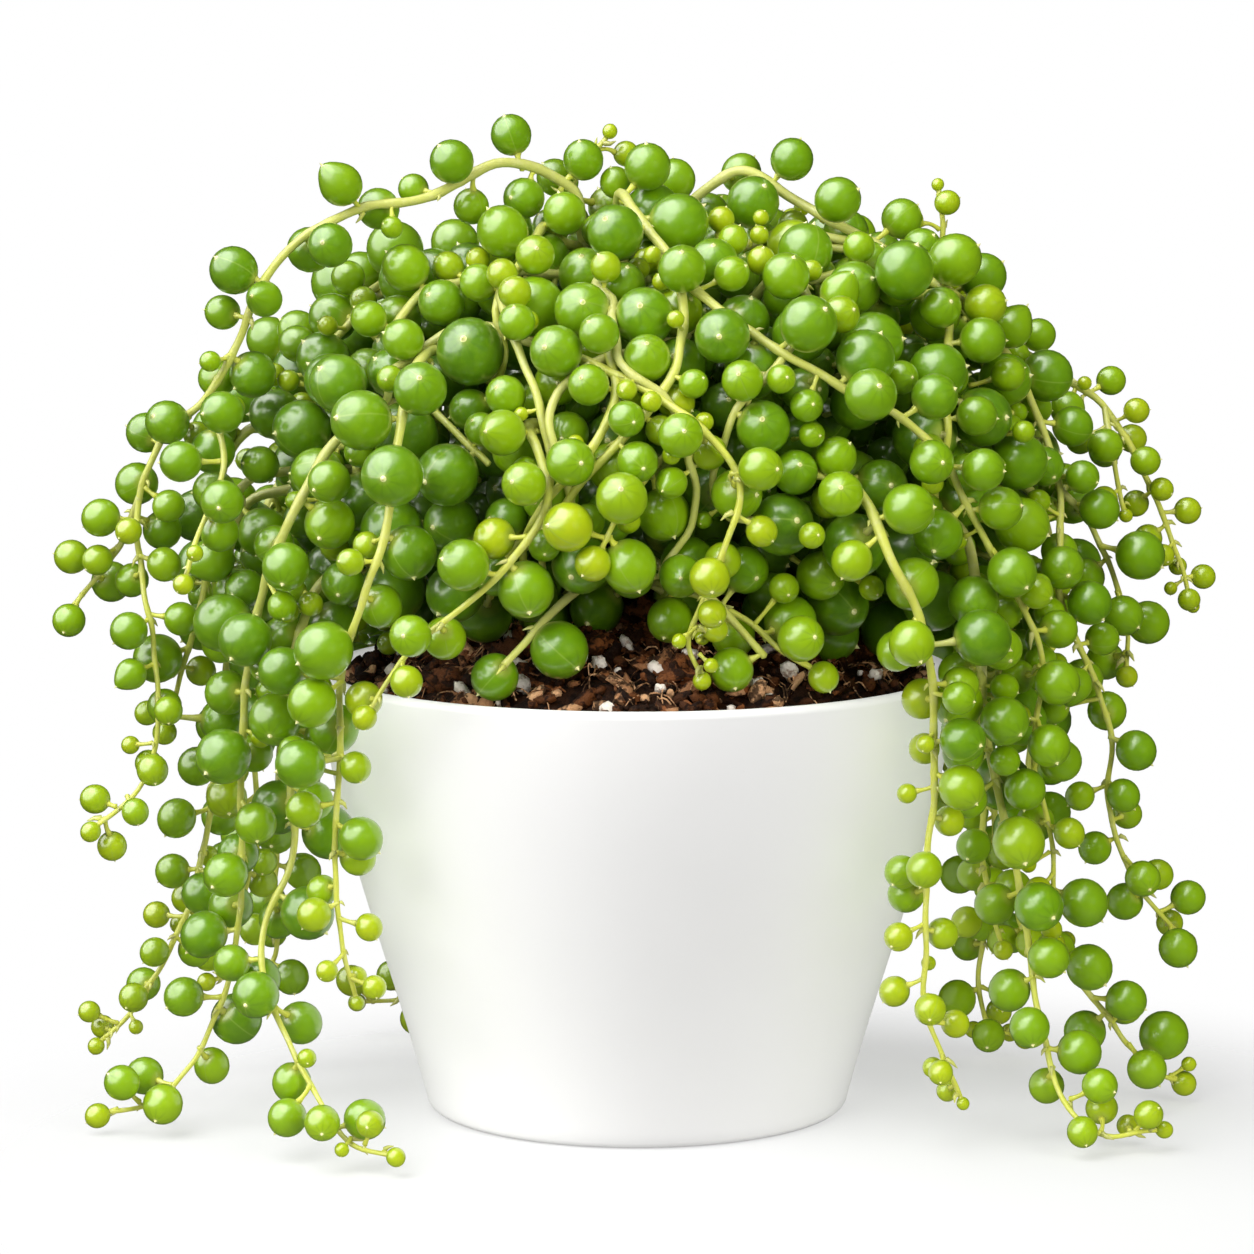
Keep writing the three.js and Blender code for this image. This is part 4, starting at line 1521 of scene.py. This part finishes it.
SOIL_PIECES = [("bed", add_bed), ("clods", add_clods), ("crumbs", add_crumbs), ("fibres", add_fibres)]
for title, recipe in SOIL_PIECES + [("grains", add_grains)]:
    heap = Heap()
    recipe(heap)
    material = pale_grain if title == "grains" else coir_soil
    finish_piece(heap, f"soil_{title}", [material], "soil")

# %% [markdown]
# ## A pale studio
# The plant stands on a white sweep. A round box high in front gives most of the light, and two lower ones
# soften the shadows between the leaves. The pale patch of shine at the upper left of each pearl comes from a
# wider box that only glossy surfaces see, so patch and light can be set one by one, and a smaller one above
# gives some shine where the wide one is hidden behind other leaves. Hanging leaves would leave the pot
# grey, so three more boxes reach the pot alone, as cards do on a real table. The world is white behind the
# plant and dim as a light, which keeps the gaps dark. The floor is a stage and no part of the plant.

# %% Floor
FLOOR_SIZE = 4
FLOOR_MIDDLE = (0.02, -0.05, 0)
FLOOR_SHOWN, FLOOR_GONE = 0.08, 0.16
FLOOR_GREY, FLOOR_DARK = (0.42, 0.42, 0.42), (0.02, 0.02, 0.02)
FLOOR_BOUNCE = 0.75
ROOM_LIGHT = 0.22
ROOM_SHINE = 0.06
WHITE = (1, 1, 1)


def floor_material():
    """White, lit from below as a product table is, and fading into the white behind it."""
    material, tree, skin = new_material("pale_floor")
    feed(tree, skin, {
        "Base Color": FLOOR_GREY,
        "Roughness": 0.8,
        "Specular IOR Level": 0.1,
        "Emission Color": WHITE,
        "Emission Strength": 0.48,
    })
    place = node(tree, "TexCoord").outputs["Object"]
    reach = node(tree, "VectorMath", {0: place, 1: FLOOR_MIDDLE}, operation="DISTANCE").outputs["Value"]
    clear = node(tree, "BsdfTransparent").outputs[0]
    inputs = {0: mask(tree, reach, FLOOR_SHOWN, FLOOR_GONE), 1: skin.outputs[0], 2: clear}
    faded = node(tree, "MixShader", inputs).outputs[0]
    dark = node(tree, "BsdfDiffuse", {"Color": FLOOR_DARK}).outputs[0]
    ray = node(tree, "LightPath").outputs
    bounce = times(tree, ray["Is Diffuse Ray"], 1 - FLOOR_BOUNCE)
    share = math_step(tree, "MULTIPLY_ADD", ray["Is Glossy Ray"], 1 - ROOM_SHINE, bounce)
    matt = node(tree, "MixShader", {0: share, 1: faded, 2: dark}).outputs[0]
    feed(tree, tree.nodes["Material Output"], {0: matt})
    return material


def add_floor():
    mesh = bpy.data.meshes.new("floor")
    half = FLOOR_SIZE / 2
    corners = [(-half, -half), (half, -half), (half, half), (-half, half)]
    mesh.from_pydata([(x, y, -0.0001) for x, y in corners], [], [(0, 1, 2, 3)])
    mesh.materials.append(floor_material())
    add_object("floor", mesh)


add_floor()
print("floor fades out from", FLOOR_SHOWN, "to", FLOOR_GONE, "m")

# %% Soft boxes
AIM = (0, 0, 0.1)
# Name, place, width and watts, and what the box reaches: all of the scene, all of it but the pot, the pot
# alone, or only the shine of glossy surfaces.
SOFT_BOXES = [
    ("main_box", (-0.6, -0.55, 1.05), 1.5, 20, "all"),
    ("shine_box", (-1.0, -0.4, 1.05), 2.9, 86, "shine"),
    ("top_shine_box", (-0.25, -0.35, 1.35), 1.6, 13, "shine"),
    ("left_fill", (-0.8, -1.25, 0.5), 1.0, 6.5, "but_pot"),
    ("right_fill", (0.9, -1.15, 0.5), 1.0, 14, "but_pot"),
    ("pot_left_fill", (-1.2, -0.4, 0.6), 0.8, 14, "pot"),
    ("pot_right_fill", (1.2, -0.4, 0.6), 0.8, 13, "pot"),
    ("pot_front_fill", (0.0, -1.4, 0.6), 0.8, 3, "pot"),
]


def add_soft_box(name, place, size, watts, reach):
    data = bpy.data.lights.new(name, "AREA")
    data.shape = "DISK"
    data.size = size
    data.energy = watts
    box = add_object(name, data)
    box.location = place
    box.rotation_euler = (Vector(AIM) - Vector(place)).to_track_quat("-Z", "Y").to_euler()
    box.visible_diffuse = reach != "shine"
    box.visible_glossy = reach == "shine"
    if reach in ("pot", "but_pot"):
        pot = bpy.data.collections.new(f"{name}_reach")
        pot.objects.link(bpy.data.objects["pot_glazed"])
        box.light_linking.receiver_collection = pot
        if reach == "pot":
            box.light_linking.blocker_collection = pot
        else:
            pot.collection_objects[0].light_linking.link_state = "EXCLUDE"


for box in SOFT_BOXES:
    add_soft_box(*box)

# %% Surroundings


def add_surroundings():
    """White for the camera, a little darker as light, so that the soft boxes can shape the leaves."""
    world = bpy.data.worlds.new("white_room")
    world.use_nodes = True
    tree = world.node_tree
    ray = node(tree, "LightPath").outputs
    strength = node(tree, "MapRange", {"Value": ray["Is Camera Ray"], "To Min": ROOM_LIGHT, "To Max": 1.0})
    dulled = node(tree, "MapRange", {"Value": ray["Is Glossy Ray"], "To Min": 1.0, "To Max": ROOM_SHINE})
    strength = times(tree, strength.outputs[0], dulled.outputs[0])
    feed(tree, tree.nodes["Background"], {0: WHITE, 1: strength})
    bpy.context.scene.world = world
    bpy.context.scene.view_settings.view_transform = "Standard"


add_surroundings()
print("world:", bpy.context.scene.world.name)
